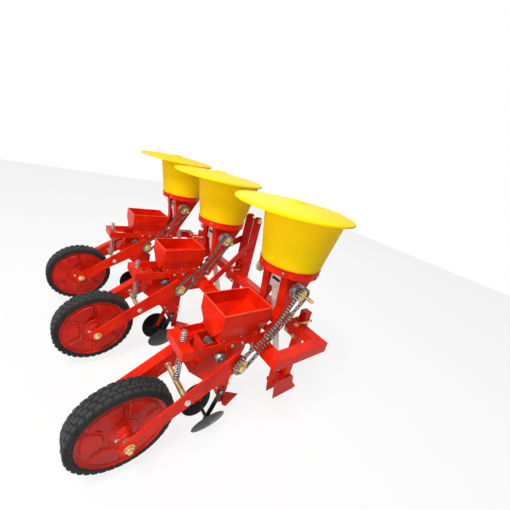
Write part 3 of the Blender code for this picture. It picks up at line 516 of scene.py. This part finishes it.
# ---- Covering discs -----------------------------------------------------------------------------
# Two dished steel discs on a black carrier behind the tine. They are cambered so that they throw
# the soil back over the seed, and their paint is worn bright at the cutting rim.
BLACK = surface("black_enamel", (0.012, 0.012, 0.013), (0.006, 0.006, 0.007), (0.15, 0.145, 0.14), (0.25, 0.48),
                grain=(800.0, 0.16), radius=0.0009, wear_and_highlight_share=0.6, specular=0.25)
CAMBER = math.radians(16.0)
DISC_RADIUS, DISC_X, DISC_Y = 0.0785, 0.063, -0.034


def disc_place(side):
    """The middle of a covering disc, and the direction in which its axle points outwards."""
    return (Vector((side * DISC_X, DISC_Y, DISC_RADIUS * math.cos(CAMBER))),
            Vector((side * math.cos(CAMBER), 0.0, -math.sin(CAMBER))))


for side, name in ((1.0, "right"), (-1.0, "left")):
    dish = [(0.0, 0.0118), (0.005, 0.0118), (0.0062, 0.0100), (0.020, 0.0094), (0.040, 0.0073), (0.060, 0.0040),
            (0.0730, 0.0012), (0.0783, 0.0), (DISC_RADIUS, -0.0006), (0.0770, -0.0016), (0.060, 0.0012),
            (0.040, 0.0044), (0.020, 0.0066), (0.014, 0.0068), (0.014, -0.0112), (0.0130, -0.0120), (0.0, -0.0120)]
    on_rows(turned(dish, *disc_place(side), 72), f"disc_blade_{name}", BLACK, f"disc_{name}",
            f"covering_disc_{name}")

ARM_HALF = 0.0125
carrier = []
for side in (-1.0, 1.0):
    low, high = Vector((DISC_Y, 0.082)), Vector((0.018, 0.222))  # the arm's ends, as y and z
    along = (high - low).normalized()
    across = Vector((-along.y, along.x))
    shape = bmesh.new()
    rings = []
    for x in (0.0398, 0.0462):
        ring = []
        for end, first in ((low, math.pi), (high, 0.0)):
            for i in range(9):
                angle = first - 0.5 * math.pi + math.pi * i / 8
                offset = along * math.cos(angle) * ARM_HALF + across * math.sin(angle) * ARM_HALF
                ring.append(shape.verts.new((side * x, end.x + offset.x, end.y + offset.y)))
        rings.append(ring)
    skin(shape, rings)
    for ring in rings:
        shape.faces.new(ring)
    centre, out = disc_place(side)
    boss = [(0.0, 0.0), (0.0125, 0.0), (0.0135, -0.001), (0.0135, -0.0125), (0.0, -0.0125)]
    carrier += [mesh_of(shape), turned(boss, centre - out * 0.0123, out, 32)]
carrier.append(tube([(-0.044, DISC_Y, 0.0822), (0.044, DISC_Y, 0.0822)], 0.0074))
on_rows(joined(*carrier), "disc_carrier", BLACK, "machine")

# ---- Press wheel --------------------------------------------------------------------------------
# A pressed-steel wheel, red, with six embossed panels and a ring groove round its boss, shod with
# a black rubber tyre that has a block tread. It drives the metering through the chain case.
RUBBER = surface("tyre_rubber", (0.024, 0.024, 0.025), (0.011, 0.011, 0.012), (0.07, 0.068, 0.064), (0.55, 0.80),
                 grain=(1300.0, 0.35), patch=30.0, radius=0.0010, wear_and_highlight_share=0.6, specular=0.18)
# The tread blocks get a lighter grey than the carcass: painted light for the light that falls on the tread from
# above.
TREAD_RUBBER_PAINTED_LIGHT = surface("tread_rubber", (0.042, 0.042, 0.043), (0.022, 0.022, 0.023), (0.11, 0.108, 0.10),
                       (0.60, 0.85), grain=(1300.0, 0.35), patch=30.0, radius=0.0010, wear_and_highlight_share=0.8, specular=0.25)
WHEEL = Vector((0.024, AXLE.y, AXLE.z))


def realized(group, copies, material, result):
    """End a node tree: its copies are made real and given their material."""
    real = add_node(group, "GeometryNodeRealizeInstances", None, {"Geometry": copies.outputs["Instances"]})
    paint = add_node(group, "GeometryNodeSetMaterial", None,
                     {"Geometry": real.outputs["Geometry"], "Material": material})
    group.links.new(paint.outputs["Geometry"], result["Geometry"])
    return group


def ring_of_copies():
    """The node tree that sets copies of a mesh round the Z axis, each turned so that its X points out."""
    group, given, result = node_group(
        "ring_of_copies", "GeometryNodeTree",
        {"Geometry": "Geometry", "Count": "Int", "Radius": "Float", "Material": "Material"},
        {"Geometry": "Geometry"})
    circle = add_node(group, "GeometryNodeMeshCircle", None, {"Vertices": given["Count"], "Radius": given["Radius"]})
    place = add_node(group, "GeometryNodeInputPosition")
    face = add_node(group, "FunctionNodeAlignRotationToVector", None, {"Vector": place.outputs["Position"]},
                    axis="X", pivot_axis="Z")
    copies = add_node(group, "GeometryNodeInstanceOnPoints", None,
                      {"Points": circle.outputs["Mesh"], "Instance": given["Geometry"],
                       "Rotation": face.outputs["Rotation"]})
    return realized(group, copies, given["Material"], result)


RING = ring_of_copies()


def made_by(group, mesh, **values):
    """The mesh that a node tree makes from a seed mesh and named inputs."""
    holder = bpy.data.objects.new("seed", mesh)
    modifier = holder.modifiers.new("copies", "NODES")
    modifier.node_group = group
    for item in group.interface.items_tree:
        if item.item_type == "SOCKET" and item.in_out == "INPUT" and item.name in values:
            modifier[item.identifier] = values[item.name]
    return mesh_from(holder)


def tread_block(across, along, height, skew, x, shift, top):
    """One tread block, x across the tyre and shift round it, narrowed to the share top."""
    shape = bmesh.new()
    corners = []
    for reach, share in ((-0.003, 1.0), (height - 0.0008, top), (height, top - 0.06)):
        ring = []
        for a, b in ((-1, -1), (1, -1), (1, 1), (-1, 1)):
            side = a * 0.5 * across * share
            ring.append(shape.verts.new((reach, shift + b * 0.5 * along * share + skew * side, x + side)))
        corners.append(ring)
    skin(shape, corners)
    shape.faces.new(corners[-1])
    return mesh_of(shape)


TREAD_COUNT = 38
pitch = 2 * math.pi * 0.171 / TREAD_COUNT
pattern = [tread_block(0.0165, 0.0235, 0.0040, 0.50, -0.0092, 0.0, 0.93),
           tread_block(0.0165, 0.0235, 0.0040, -0.50, 0.0092, 0.5 * pitch, 0.93),
           tread_block(0.0160, 0.0215, 0.0033, 0.30, -0.0272, 0.5 * pitch, 0.90),
           tread_block(0.0160, 0.0215, 0.0033, -0.30, 0.0272, 0.0, 0.90)]
lugs = made_by(RING, joined(*pattern), Count=TREAD_COUNT, Radius=0.1740, Material=TREAD_RUBBER_PAINTED_LIGHT)
notch = tread_block(0.0050, 0.0105, 0.0042, 0.0, 0.0368, 0.0, 0.8)
notch_far = tread_block(0.0050, 0.0105, 0.0042, 0.0, -0.0368, 0.0, 0.8)
shoulder = made_by(RING, joined(notch, notch_far), Count=2 * TREAD_COUNT, Radius=0.1655, Material=RUBBER)
for mesh in (lugs, shoulder):
    mesh.transform(Matrix.Translation(WHEEL) @ Matrix.Rotation(math.radians(90.0), 4, "Y"))
half = [(0.1746, 0.0180), (0.1738, 0.0285), (0.1712, 0.0340), (0.1672, 0.0374), (0.1610, 0.0392), (0.1585, 0.0394),
        (0.1580, 0.0402), (0.1560, 0.0405), (0.1545, 0.0400), (0.1515, 0.0388), (0.1499, 0.0360)]
far_half = [(radius, -height) for radius, height in reversed(half)]
carcass = turned([(0.1748, 0.0), *half, *far_half], WHEEL, (1, 0, 0), 128)
on_rows(joined(carcass, shoulder), "treaded_tyre", RUBBER, "wheel", "press_tyre")
on_rows(lugs, "tread_lugs", TREAD_RUBBER_PAINTED_LIGHT, "wheel")


def pressed_disc():
    """The wheel's web, with its embossed panels and ring groove, and its back face."""
    web, sheet, around = 0.054, 0.003, 288
    inner, outer, steps = 0.018, 0.1465, 72
    panel = 60.0

    def ease(value, low, high):
        t = max(0.0, min(1.0, (value - low) / (high - low)))
        return t * t * (3.0 - 2.0 * t)

    def height(radius, angle):
        local = math.degrees(angle) % panel
        side = min(local, panel - local)
        start = 0.062 + 0.016 * (1.0 - side / (0.5 * panel))
        inside = ease(radius, start, start + 0.004) * (1.0 - ease(radius, 0.129, 0.133))
        wide = ease(math.radians(side) * radius, 0.0085, 0.0120)
        rib = (1.0 - ease(math.radians(side) * radius, 0.0022, 0.0042)) * ease(radius, 0.080, 0.083)
        rib *= 1.0 - ease(radius, 0.102, 0.105)
        groove = ease(radius, 0.046, 0.049) * (1.0 - ease(radius, 0.052, 0.056))
        dome = 0.0030 * (1.0 - ease(radius, 0.026, 0.044))
        edge = 0.0040 * ease(radius, 0.136, 0.1455)
        return web + 0.0056 * inside * wide + 0.0050 * rib - 0.0030 * groove + dome + edge

    shape = bmesh.new()
    radii = [inner + (outer - inner) * i / steps for i in range(steps + 1)]
    grids = [[[shape.verts.new((height(radius, angle) - back, AXLE.y + radius * math.sin(angle),
                                AXLE.z + radius * math.cos(angle))) for angle in angles(around)]
              for radius in radii] for back in (0.0, sheet)]
    for grid in grids:
        skin(shape, grid)
    for edge in (0, -1):
        skin(shape, [grids[0][edge], grids[1][edge]])
    return mesh_of(shape)


rim_band = turned([(0.1496, 0.0608), (0.1488, 0.0618), (0.1470, 0.0618), (0.1462, 0.0608), (0.1462, -0.0128),
                   (0.1470, -0.0138), (0.1488, -0.0138), (0.1496, -0.0128)], (0.0, AXLE.y, AXLE.z), (1, 0, 0), 128)
boss = turned([(0.0205, 0.000), (0.022, 0.0015), (0.022, 0.052), (0.0255, 0.0565), (0.0245, 0.062), (0.022, 0.064),
               (0.022, 0.0855), (0.0205, 0.088), (0.009, 0.088), (0.009, 0.0)], (0.0, AXLE.y, AXLE.z), (1, 0, 0), 48)
# The wheel's edges are painted a lighter orange: a painted highlight.
WHEEL_RED = surface("wheel_enamel", (0.60, 0.016, 0.006), (0.42, 0.009, 0.003), (0.92, 0.14, 0.07), (0.20, 0.34),
                    grain=(700.0, 0.06), radius=0.0020, wear_and_highlight_share=0.8, specular=0.16)
on_rows(joined(pressed_disc(), rim_band, boss), "pressed_wheel", WHEEL_RED, "wheel", "press_wheel")
axle = turned([(0.0, 0.1385), (0.0068, 0.1385), (0.008, 0.1370), (0.008, 0.1081), (0.0138, 0.1080), (0.0148, 0.1070),
               (0.0148, 0.0890), (0.0140, 0.0881), (0.008, 0.0881), (0.008, -0.1445), (0.0068, -0.1460),
               (0.0, -0.1460)], (0.0, AXLE.y, AXLE.z), (1, 0, 0), 40)
nut_right = hex_head((0.1209, AXLE.y, AXLE.z), (1, 0, 0), 0.025, 0.0095)
nut_left = hex_head((-0.1298, AXLE.y, AXLE.z), (-1, 0, 0), 0.025, 0.0095)
on_rows(joined(axle, nut_right, nut_left), "wheel_axle", ZINC, "wheel")
screw = turned([(0.0, 0.0130), (0.0044, 0.0130), (0.0050, 0.0120), (0.0050, 0.0060), (0.0034, 0.0055),
                (0.0034, -0.001), (0.0, -0.001)], (0.0765, AXLE.y - 0.0215, AXLE.z), (0, -1, 0), 6)
on_rows(screw, "wheel_set_screw", STEEL, "wheel")

# ---- Arms ---------------------------------------------------------------------------------------
# The wheel hangs between a flat steel arm on the right and the folded chain case on the left. Both
# swing on the mid shaft and are painted like the frame.
coat_node(RED, *[f"{name}_{row}" for name in ("arm_right", "chain_case") for row, _ in ROWS])

# ---- Spring rod and press spring ----------------------------------------------------------------
# A grey steel rod on the plated cross tie slides through the unit frame's channel, with a pin
# across its top. The long spring round it pushes the wheel down, and a short one above softens
# the drop.
TIE = Vector((0.0, -0.198, 0.335))
ROD_X = 0.008
SPRING_WIRE = 0.0016
COIL_STEPS = 20


def coil(low, high, radius, turns):
    """A compression spring round the rod whose end turns lie closed."""
    wire = SPRING_WIRE
    free = (high - low - 4.0 * wire) / (turns - 2.0)
    points = []
    for i in range(turns * COIL_STEPS + 1):
        turn = i / COIL_STEPS
        if turn < 1.0:
            z = low + turn * 2.0 * wire
        elif turn > turns - 1.0:
            z = high - (turns - turn) * 2.0 * wire
        else:
            z = low + 2.0 * wire + (turn - 1.0) * free
        angle = 2 * math.pi * turn
        points.append((ROD_X + radius * math.cos(angle), TIE.y + radius * math.sin(angle), z))
    return tube(points, wire, resolution=3)


tie = turned([(0.0, 0.1117), (0.0110, 0.1117), (0.0110, -0.0807), (0.0, -0.0807)], TIE, (1, 0, 0), 36)
rod = turned([(0.0, 0.2330), (0.0040, 0.2330), (0.0050, 0.2315), (0.0050, 0.0), (0.0, 0.0)],
             (ROD_X, TIE.y, TIE.z), (0, 0, 1), 28)
seat = turned([(0.0, 0.0142), (0.0135, 0.0142), (0.0135, 0.0118), (0.0090, 0.0110), (0.0080, 0.0), (0.0, 0.0)],
              (ROD_X, TIE.y, TIE.z), (0, 0, 1), 36)
cross_pin = tube([(ROD_X - 0.0125, TIE.y, 0.5655), (ROD_X + 0.0125, TIE.y, 0.5655)], 0.0014, resolution=2)
tie_bolt = hex_head((0.1209, TIE.y, TIE.z), (1, 0, 0), 0.0165, 0.0070)
on_rows(tie, "spring_tie", ZINC, "rod", "spring_rod")
collars = [turned([(0.0111, 0.0030), (0.0128, 0.0024), (0.0128, -0.0024), (0.0111, -0.0030)], (x, TIE.y, TIE.z),
                  (1, 0, 0), 36) for x in (-0.0765, 0.1070)]
on_rows(joined(tie_bolt, *collars), "tie_collars", STEEL, "rod")
on_rows(joined(rod, seat, cross_pin), "spring_guide", CAST, "rod")
WIRE = surface("spring_wire", (0.50, 0.50, 0.50), (0.30, 0.30, 0.30), (0.75, 0.75, 0.74), (0.24, 0.40), 0.85,
               grain=(1500.0, 0.08), patch=70.0, radius=0.0005)
on_rows(coil(0.5236, 0.5640, 0.0100, 6), "rebound_spring", WIRE, "rod")
springs = on_rows(coil(0.3517, 0.5125, 0.0115, 14), "wound_spring", WIRE, "machine",
                  "press_spring")
for (row, x), spring in zip(ROWS, springs):
    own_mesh(spring)

# ---- Mid shaft, feed shaft and sprockets --------------------------------------------------------
# Plated shafts with 14-tooth sprockets. The upper one has a turned steel drum on the chain's side
# and a scalloped cream plastic hand wheel on the other for setting the fertilizer rate.
PIVOT = Vector((0.0, 0.002, 0.4353))
FEED = Vector((0.0, 0.2388, 0.7233))
CHAIN_X = 0.1315
TEETH = 14
LINK_PITCH = 0.0127
PITCH_RADIUS = LINK_PITCH / (2.0 * math.sin(math.pi / TEETH))
SEAT_TURN = math.radians(11.72)  # brings the gaps between the teeth under the chain's rollers at rest
SEAT_RADIUS = 0.0046
ROLLER_CIRCLE = 0.0292
TOOTH_RISE = 0.0038
TOOTH_FLANK = 0.0010  # how far beside its seat a tooth reaches its full height


def tooth_edge(angle):
    """The sprocket's radius at an angle, and how far up a tooth that is, from 0 to 1."""
    off = (angle - SEAT_TURN) % (2.0 * math.pi / TEETH) - math.pi / TEETH
    across = abs(ROLLER_CIRCLE * math.sin(off))
    if across < SEAT_RADIUS:
        return ROLLER_CIRCLE * math.cos(off) - math.sqrt(SEAT_RADIUS ** 2 - across ** 2), 0.0
    rise = min(1.0, (across - SEAT_RADIUS) / TOOTH_FLANK) ** 0.5
    return PITCH_RADIUS + TOOTH_RISE * rise, rise


def toothed(centre, bore):
    """A sprocket plate with a round seat for each roller between its teeth."""
    shape = bmesh.new()
    around = angles(TEETH * 16)
    middle = centre.x + CHAIN_X
    rings = []
    for x, inset in ((-0.0025, 0.0012), (-0.0016, 0.0), (0.0016, 0.0), (0.0025, 0.0012)):
        edges = [tooth_edge(angle) for angle in around]
        rings.append(ring_of(shape, middle + x, centre, [radius - inset * rise for radius, rise in edges]))
    inner = [ring_of(shape, middle + x, centre, [bore] * len(around)) for x in (-0.0025, 0.0025)]
    skin(shape, [inner[0], *rings, inner[1], inner[0]])
    return mesh_of(shape)


mid = turned([(0.0, 0.150), (0.0088, 0.150), (0.0100, 0.1485), (0.0100, 0.1465), (0.0150, 0.1460), (0.0160, 0.1450),
              (0.0160, 0.1345), (0.0100, 0.1340), (0.0100, -0.1385), (0.0088, -0.140), (0.0, -0.140)],
             PIVOT, (1, 0, 0), 40)
on_rows(joined(mid, toothed(PIVOT, 0.0102), hex_head((0.1468, PIVOT.y, PIVOT.z), (1, 0, 0), 0.022, 0.003)),
        "turned_mid_shaft", ZINC, "mid", "mid_shaft")
feed = turned([(0.0, 0.1860), (0.0064, 0.1860), (0.0075, 0.1848), (0.0075, 0.1410), (0.0105, 0.1405),
               (0.0115, 0.1395), (0.0115, 0.1345), (0.0075, 0.1340), (0.0075, -0.1450), (0.0, -0.1450)],
              FEED, (1, 0, 0), 48)
on_rows(feed, "turned_feed_shaft", ZINC, "feed", "feed_shaft")
drum = [(0.0076, 0.1122), (0.0240, 0.1122), (0.0262, 0.1112)]
for ring in range(4):
    top = 0.1105 - 0.0079 * ring
    drum += [(0.0308, top), (0.0330, top - 0.0012), (0.0330, top - 0.0042), (0.0308, top - 0.0054),
             (0.0282, top - 0.0062), (0.0282, top - 0.0071)]
drum += [(0.0262, 0.0790), (0.0076, 0.0789)]
on_rows(turned(drum, FEED, (1, 0, 0), 72), "feed_drum", WIRE, "feed")
on_rows(toothed(FEED, 0.0078), "feed_sprocket", ZINC, "feed")
CREAM = surface("cream_plastic", (0.72, 0.62, 0.42), (0.62, 0.52, 0.33), (0.80, 0.72, 0.55), (0.35, 0.5),
                grain=(900.0, 0.06), patch=40.0)
SCALLOPS = 8
shape = bmesh.new()
rings = []
for x, share in ((-0.168, 0.0), (-0.168, 0.40), (-0.1655, 0.44), (-0.1650, 0.80), (-0.1625, 0.95), (-0.1580, 1.0),
                 (-0.1520, 1.0), (-0.1475, 0.95), (-0.1450, 0.80), (-0.1450, 0.0)):
    rings.append(ring_of(shape, x, FEED, [share * (0.0275 + 0.0025 * math.cos(SCALLOPS * angle) * (share > 0.7))
                                          for angle in angles(96)]))
skin(shape, rings)
knob = sealed(shape)
on_rows(knob, "hand_wheel", CREAM, "feed")

# ---- Feed chain ---------------------------------------------------------------------------------
# An oiled roller chain of 12.7 mm pitch from the mid shaft up to the feed shaft, with outer and
# inner links that alternate and a riveted pin at each joint. Its slack strand sags.
CHAIN = surface("oiled_chain", (0.13, 0.115, 0.10), (0.055, 0.048, 0.041), (0.60, 0.56, 0.50), (0.28, 0.5), 0.9,
                grain=(1400.0, 0.12), patch=120.0, radius=0.0004)
SLACK, SAG_POWER = 0.0240, 1.5  # the sag's depth, and how gently it leaves the sprockets


def chain_path(radius, points):
    """Equally spaced points (y, z) with their directions round the two sprockets."""
    start, end = Vector((PIVOT.y, PIVOT.z)), Vector((FEED.y, FEED.z))
    run = end - start
    lean = math.atan2(run.y, run.x)
    length = 2.0 * run.length + 2.0 * math.pi * radius
    made = []
    for i in range(points):
        s = length * i / points
        if s < run.length:
            side = Vector((math.sin(lean), -math.cos(lean))) * radius
            made.append((start + run * (s / run.length) + side, lean))
        elif s < run.length + math.pi * radius:
            turn = (s - run.length) / radius
            angle = lean - 0.5 * math.pi + turn
            made.append((end + Vector((math.cos(angle), math.sin(angle))) * radius, lean + turn))
        elif s < 2.0 * run.length + math.pi * radius:
            back = (s - run.length - math.pi * radius) / run.length
            dip = max(0.0, math.sin(math.pi * back))
            side = Vector((-math.sin(lean), math.cos(lean))) * (radius - SLACK * dip ** SAG_POWER)
            fall = SAG_POWER * SLACK * math.pi * dip ** (SAG_POWER - 1.0) * math.cos(math.pi * back)
            slope = math.atan(fall / run.length)
            made.append((end - run * back + side, lean + math.pi + slope))
        else:
            turn = (s - 2.0 * run.length - math.pi * radius) / radius
            angle = lean + 0.5 * math.pi + turn
            made.append((start + Vector((math.cos(angle), math.sin(angle))) * radius, lean + math.pi + turn))
    return made


LINK_HALF = 0.0054


def link_plate(x, thick):
    """A round-ended side plate of one link along +Y, its middle at the origin."""
    shape = bmesh.new()
    rings = []
    for face in (x - 0.5 * thick, x + 0.5 * thick):
        ring = []
        for centre, first in ((0.5 * LINK_PITCH, -0.5 * math.pi), (-0.5 * LINK_PITCH, 0.5 * math.pi)):
            for i in range(9):
                angle = first + math.pi * i / 8
                ring.append(shape.verts.new((face, centre + LINK_HALF * math.cos(angle),
                                             LINK_HALF * math.sin(angle))))
        rings.append(ring)
    skin(shape, rings)
    for ring in rings:
        shape.faces.new(ring)
    return mesh_of(shape)


def link(outer):
    """One link as its two side plates, and its pins or rollers."""
    reach = 0.0049 if outer else 0.0037
    plates = joined(link_plate(-reach, 0.0010), link_plate(reach, 0.0010))
    pins = []
    profile = [(0.0040, 0.0031), (0.0040, -0.0031), (0.0, -0.0031), (0.0, 0.0031)]
    if outer:
        profile = [(0.0, 0.0060), (0.0021, 0.0060), (0.0025, 0.0055), (0.0025, -0.0055), (0.0021, -0.0060),
                   (0.0, -0.0060)]
    for y in (-0.5 * LINK_PITCH, 0.5 * LINK_PITCH):
        pins.append(turned(profile, (0, y, 0), (1, 0, 0), 12))
    return plates, joined(*pins)


def links_on_points():
    """The node tree that sets one link on each vertex of a path, turned along its direction."""
    group, given, result = node_group(
        "links_on_points", "GeometryNodeTree",
        {"Geometry": "Geometry", "Link": "Object", "Material": "Material"}, {"Geometry": "Geometry"})
    source = add_node(group, "GeometryNodeObjectInfo", None, {"Object": given["Link"]})
    way = add_node(group, "GeometryNodeInputNamedAttribute", {"Name": "turn"}, data_type="FLOAT")
    spin = add_node(group, "ShaderNodeCombineXYZ", None, {"X": way.outputs["Attribute"]})
    copies = add_node(group, "GeometryNodeInstanceOnPoints", None,
                      {"Points": given["Geometry"], "Instance": source.outputs["Geometry"],
                       "Rotation": spin.outputs["Vector"]})
    return realized(group, copies, given["Material"], result)


LINKS = links_on_points()
LINK_COUNT = 72
path = chain_path(PITCH_RADIUS, LINK_COUNT)
plates, pins = [], []
for outer in (False, True):
    places = path[int(outer)::2]
    for mesh, runs, look in zip(link(outer), (plates, pins), (CHAIN, STEEL)):
        steps = bpy.data.meshes.new("path")
        steps.from_pydata([(CHAIN_X, place.x, place.y) for place, _ in places], [], [])
        turns = steps.attributes.new("turn", "FLOAT", "POINT")
        for item, (_, angle) in zip(turns.data, places):
            item.value = angle
        pattern = bpy.data.objects.new("link", mesh)
        bpy.context.collection.objects.link(pattern)
        runs.append(made_by(LINKS, steps, Link=pattern, Material=look))
        bpy.data.objects.remove(pattern)
on_rows(joined(*plates), "chain_plates", CHAIN, "machine", "feed_chain")
on_rows(joined(*pins), "chain_pins", STEEL, "machine")

# ---- Fertilizer stand ---------------------------------------------------------------------------
# Two red side plates, flanged at the rear, stand on the rails and carry a round seat that the
# hopper is screwed in.
coat_node(RED, *[f"fertilizer_stand_{row}" for row, _ in ROWS])
SEAT_HALF = 0.1335
seat_rim = [(SEAT_HALF * math.cos(a), HOPPER_Y + SEAT_HALF * math.sin(a), 0.8187) for a in angles(72)]
on_rows(tube(seat_rim, 0.0017, cyclic=True, resolution=2), "seat_rim", RED, "machine")

# ---- Fertilizer hopper and lid ------------------------------------------------------------------
# A smooth yellow rotomoulded tub, wider at its top, under an overhanging shallow lid with a turned
# down lip and a small flat boss at its middle.
YELLOW = surface("yellow_polyethylene", (1.0, 0.69, 0.001), (1.0, 0.64, 0.001), (1.0, 0.78, 0.06), (0.42, 0.55),
                 grain=(420.0, 0.08), patch=7.0, radius=0.0025, wear_and_highlight_share=0.2, specular=0.05)
tub = turned([(0.0, 0.7932), (0.1180, 0.7934), (0.1245, 0.7960), (0.1275, 0.8010), (0.1283, 0.8193), (0.1670, 1.0460),
              (0.1680, 1.0495), (0.1700, 1.0500), (0.1714, 1.0495), (0.1718, 1.0470), (0.1700, 1.0440),
              (0.1308, 0.8193), (0.1296, 0.8000), (0.1285, 0.7930), (0.1250, 0.7905), (0.0, 0.7904)],
             (0.0, HOPPER_Y, 0.0), (0, 0, 1), 128)
on_rows(tub, "hopper_tub", YELLOW, "machine", "hopper")
lid = [(0.0, 1.0798), (0.026, 1.0798), (0.0300, 1.0788), (0.0330, 1.0758), (0.0370, 1.0742), (0.070, 1.0721),
       (0.120, 1.0683), (0.170, 1.0638), (0.215, 1.0589), (0.234, 1.0562), (0.2410, 1.0545), (0.2436, 1.0525),
       (0.2442, 1.0500), (0.2440, 1.0468), (0.2428, 1.0460), (0.2415, 1.0466), (0.2400, 1.0515), (0.232, 1.0535),
       (0.215, 1.0558), (0.170, 1.0606), (0.120, 1.0652), (0.070, 1.0690), (0.0, 1.0715)]
LID_SHARE, LID_CENTRE = 0.985, (-0.005, 0.190, 0.0)
cover = turned([(LID_SHARE * radius, height) for radius, height in lid], LID_CENTRE, (0, 0, 1), 144)
skirt = turned([(0.1738, 1.0560), (0.1738, 1.0505), (0.1640, 1.0505), (0.1638, 1.0414), (0.1612, 1.0414),
                (0.1610, 1.0590)], (0.0, HOPPER_Y, 0.0), (0, 0, 1), 96)
on_rows(joined(cover, skirt), "domed_lid", YELLOW, "lid", "hopper_lid")

# ---- Drop funnel --------------------------------------------------------------------------------
# A milky white plastic metering housing under the hopper tapers into a hose that leads the fertilizer
# down to the opener. A thin black sheet across its rear is painted shade for the dark inside of a slot.
MILK = surface("milky_plastic", (0.82, 0.80, 0.76), (0.70, 0.68, 0.64), (0.9, 0.88, 0.85), (0.32, 0.5),
               grain=(500.0, 0.08), patch=20.0, radius=0.002, wear_and_highlight_share=0.2)
MILK.node_tree.nodes["Principled BSDF"].inputs["Subsurface Weight"].default_value = 0.25
MILK.node_tree.nodes["Principled BSDF"].inputs["Subsurface Radius"].default_value = (0.012, 0.011, 0.010)
BOOT_X = 0.026  # the opener stands this far beside the row's line
housing = block((-0.036, FEED.y - 0.040, 0.690), (0.036, FEED.y + 0.022, 0.756), 0.006)
collar = block((-0.024, FEED.y - 0.036, 0.752), (0.024, FEED.y + 0.018, 0.7862), 0.003)
cone = turned([(0.0, 0.694), (0.0300, 0.693), (0.0290, 0.686), (0.0180, 0.640), (0.0175, 0.630), (0.0, 0.630)],
              (0.0, FEED.y - 0.010, 0.0), (0, 0, 1), 48)
hose = tube([(0.0, FEED.y - 0.010, 0.640), (0.001, FEED.y - 0.004, 0.612), (0.002, FEED.y + 0.006, 0.585),
             (0.006, FEED.y + 0.035, 0.500), (0.014, FEED.y + 0.072, 0.380), (0.022, FEED.y + 0.102, 0.285),
             (0.0255, 0.3500, 0.243), (BOOT_X, 0.3511, 0.2175)], 0.0155, resolution=8, smooth=True)
band = [(0.0163, 0.004), (0.0170, 0.002), (0.0170, -0.002), (0.0163, -0.004), (0.0150, -0.004), (0.0150, 0.004)]
bands = [turned(band, (0.0, FEED.y - 0.0095, 0.634), (0, 0.1, -1), 40),
         turned(band, (BOOT_X, 0.3508, 0.226), (0, 0, 1), 40)]
on_rows(joined(housing, collar, cone, hose), "moulded_funnel", MILK, "machine", "drop_funnel")
on_rows(joined(*bands), "hose_bands", STEEL, "machine")
# A thin black sheet on the housing's rear: painted shade for the slot's dark inside.
on_rows(block((-0.024, FEED.y - 0.0408, 0.728), (0.024, FEED.y - 0.0385, 0.742), 0.0008), "funnel_slot", BLACK,
        "machine")

# ---- Fertilizer opener --------------------------------------------------------------------------
# A square shank clamped on the front beam by two U-bolts, with a red furrow boot at its foot and
# the tube that takes the hose behind it.
coat_node(RED, *[f"fertilizer_opener_{row}" for row, _ in ROWS])
clips = []
for z in (0.425, 0.4915):
    for side in (-1.0, 1.0):
        x = BOOT_X + side * 0.0252
        clips.append(block((x - 0.0052, 0.3698, z - 0.0051), (x + 0.0052, 0.4902, z + 0.0051), 0.0012))
        clips.append(hex_head((x, 0.3823, z), (0, -1, 0), 0.0150, 0.0075))
    clips.append(block((BOOT_X - 0.0304, 0.4804, z - 0.0051), (BOOT_X + 0.0304, 0.4902, z + 0.0051), 0.0012))
on_rows(joined(*clips), "opener_u_bolts", ZINC, "machine")

low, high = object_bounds()
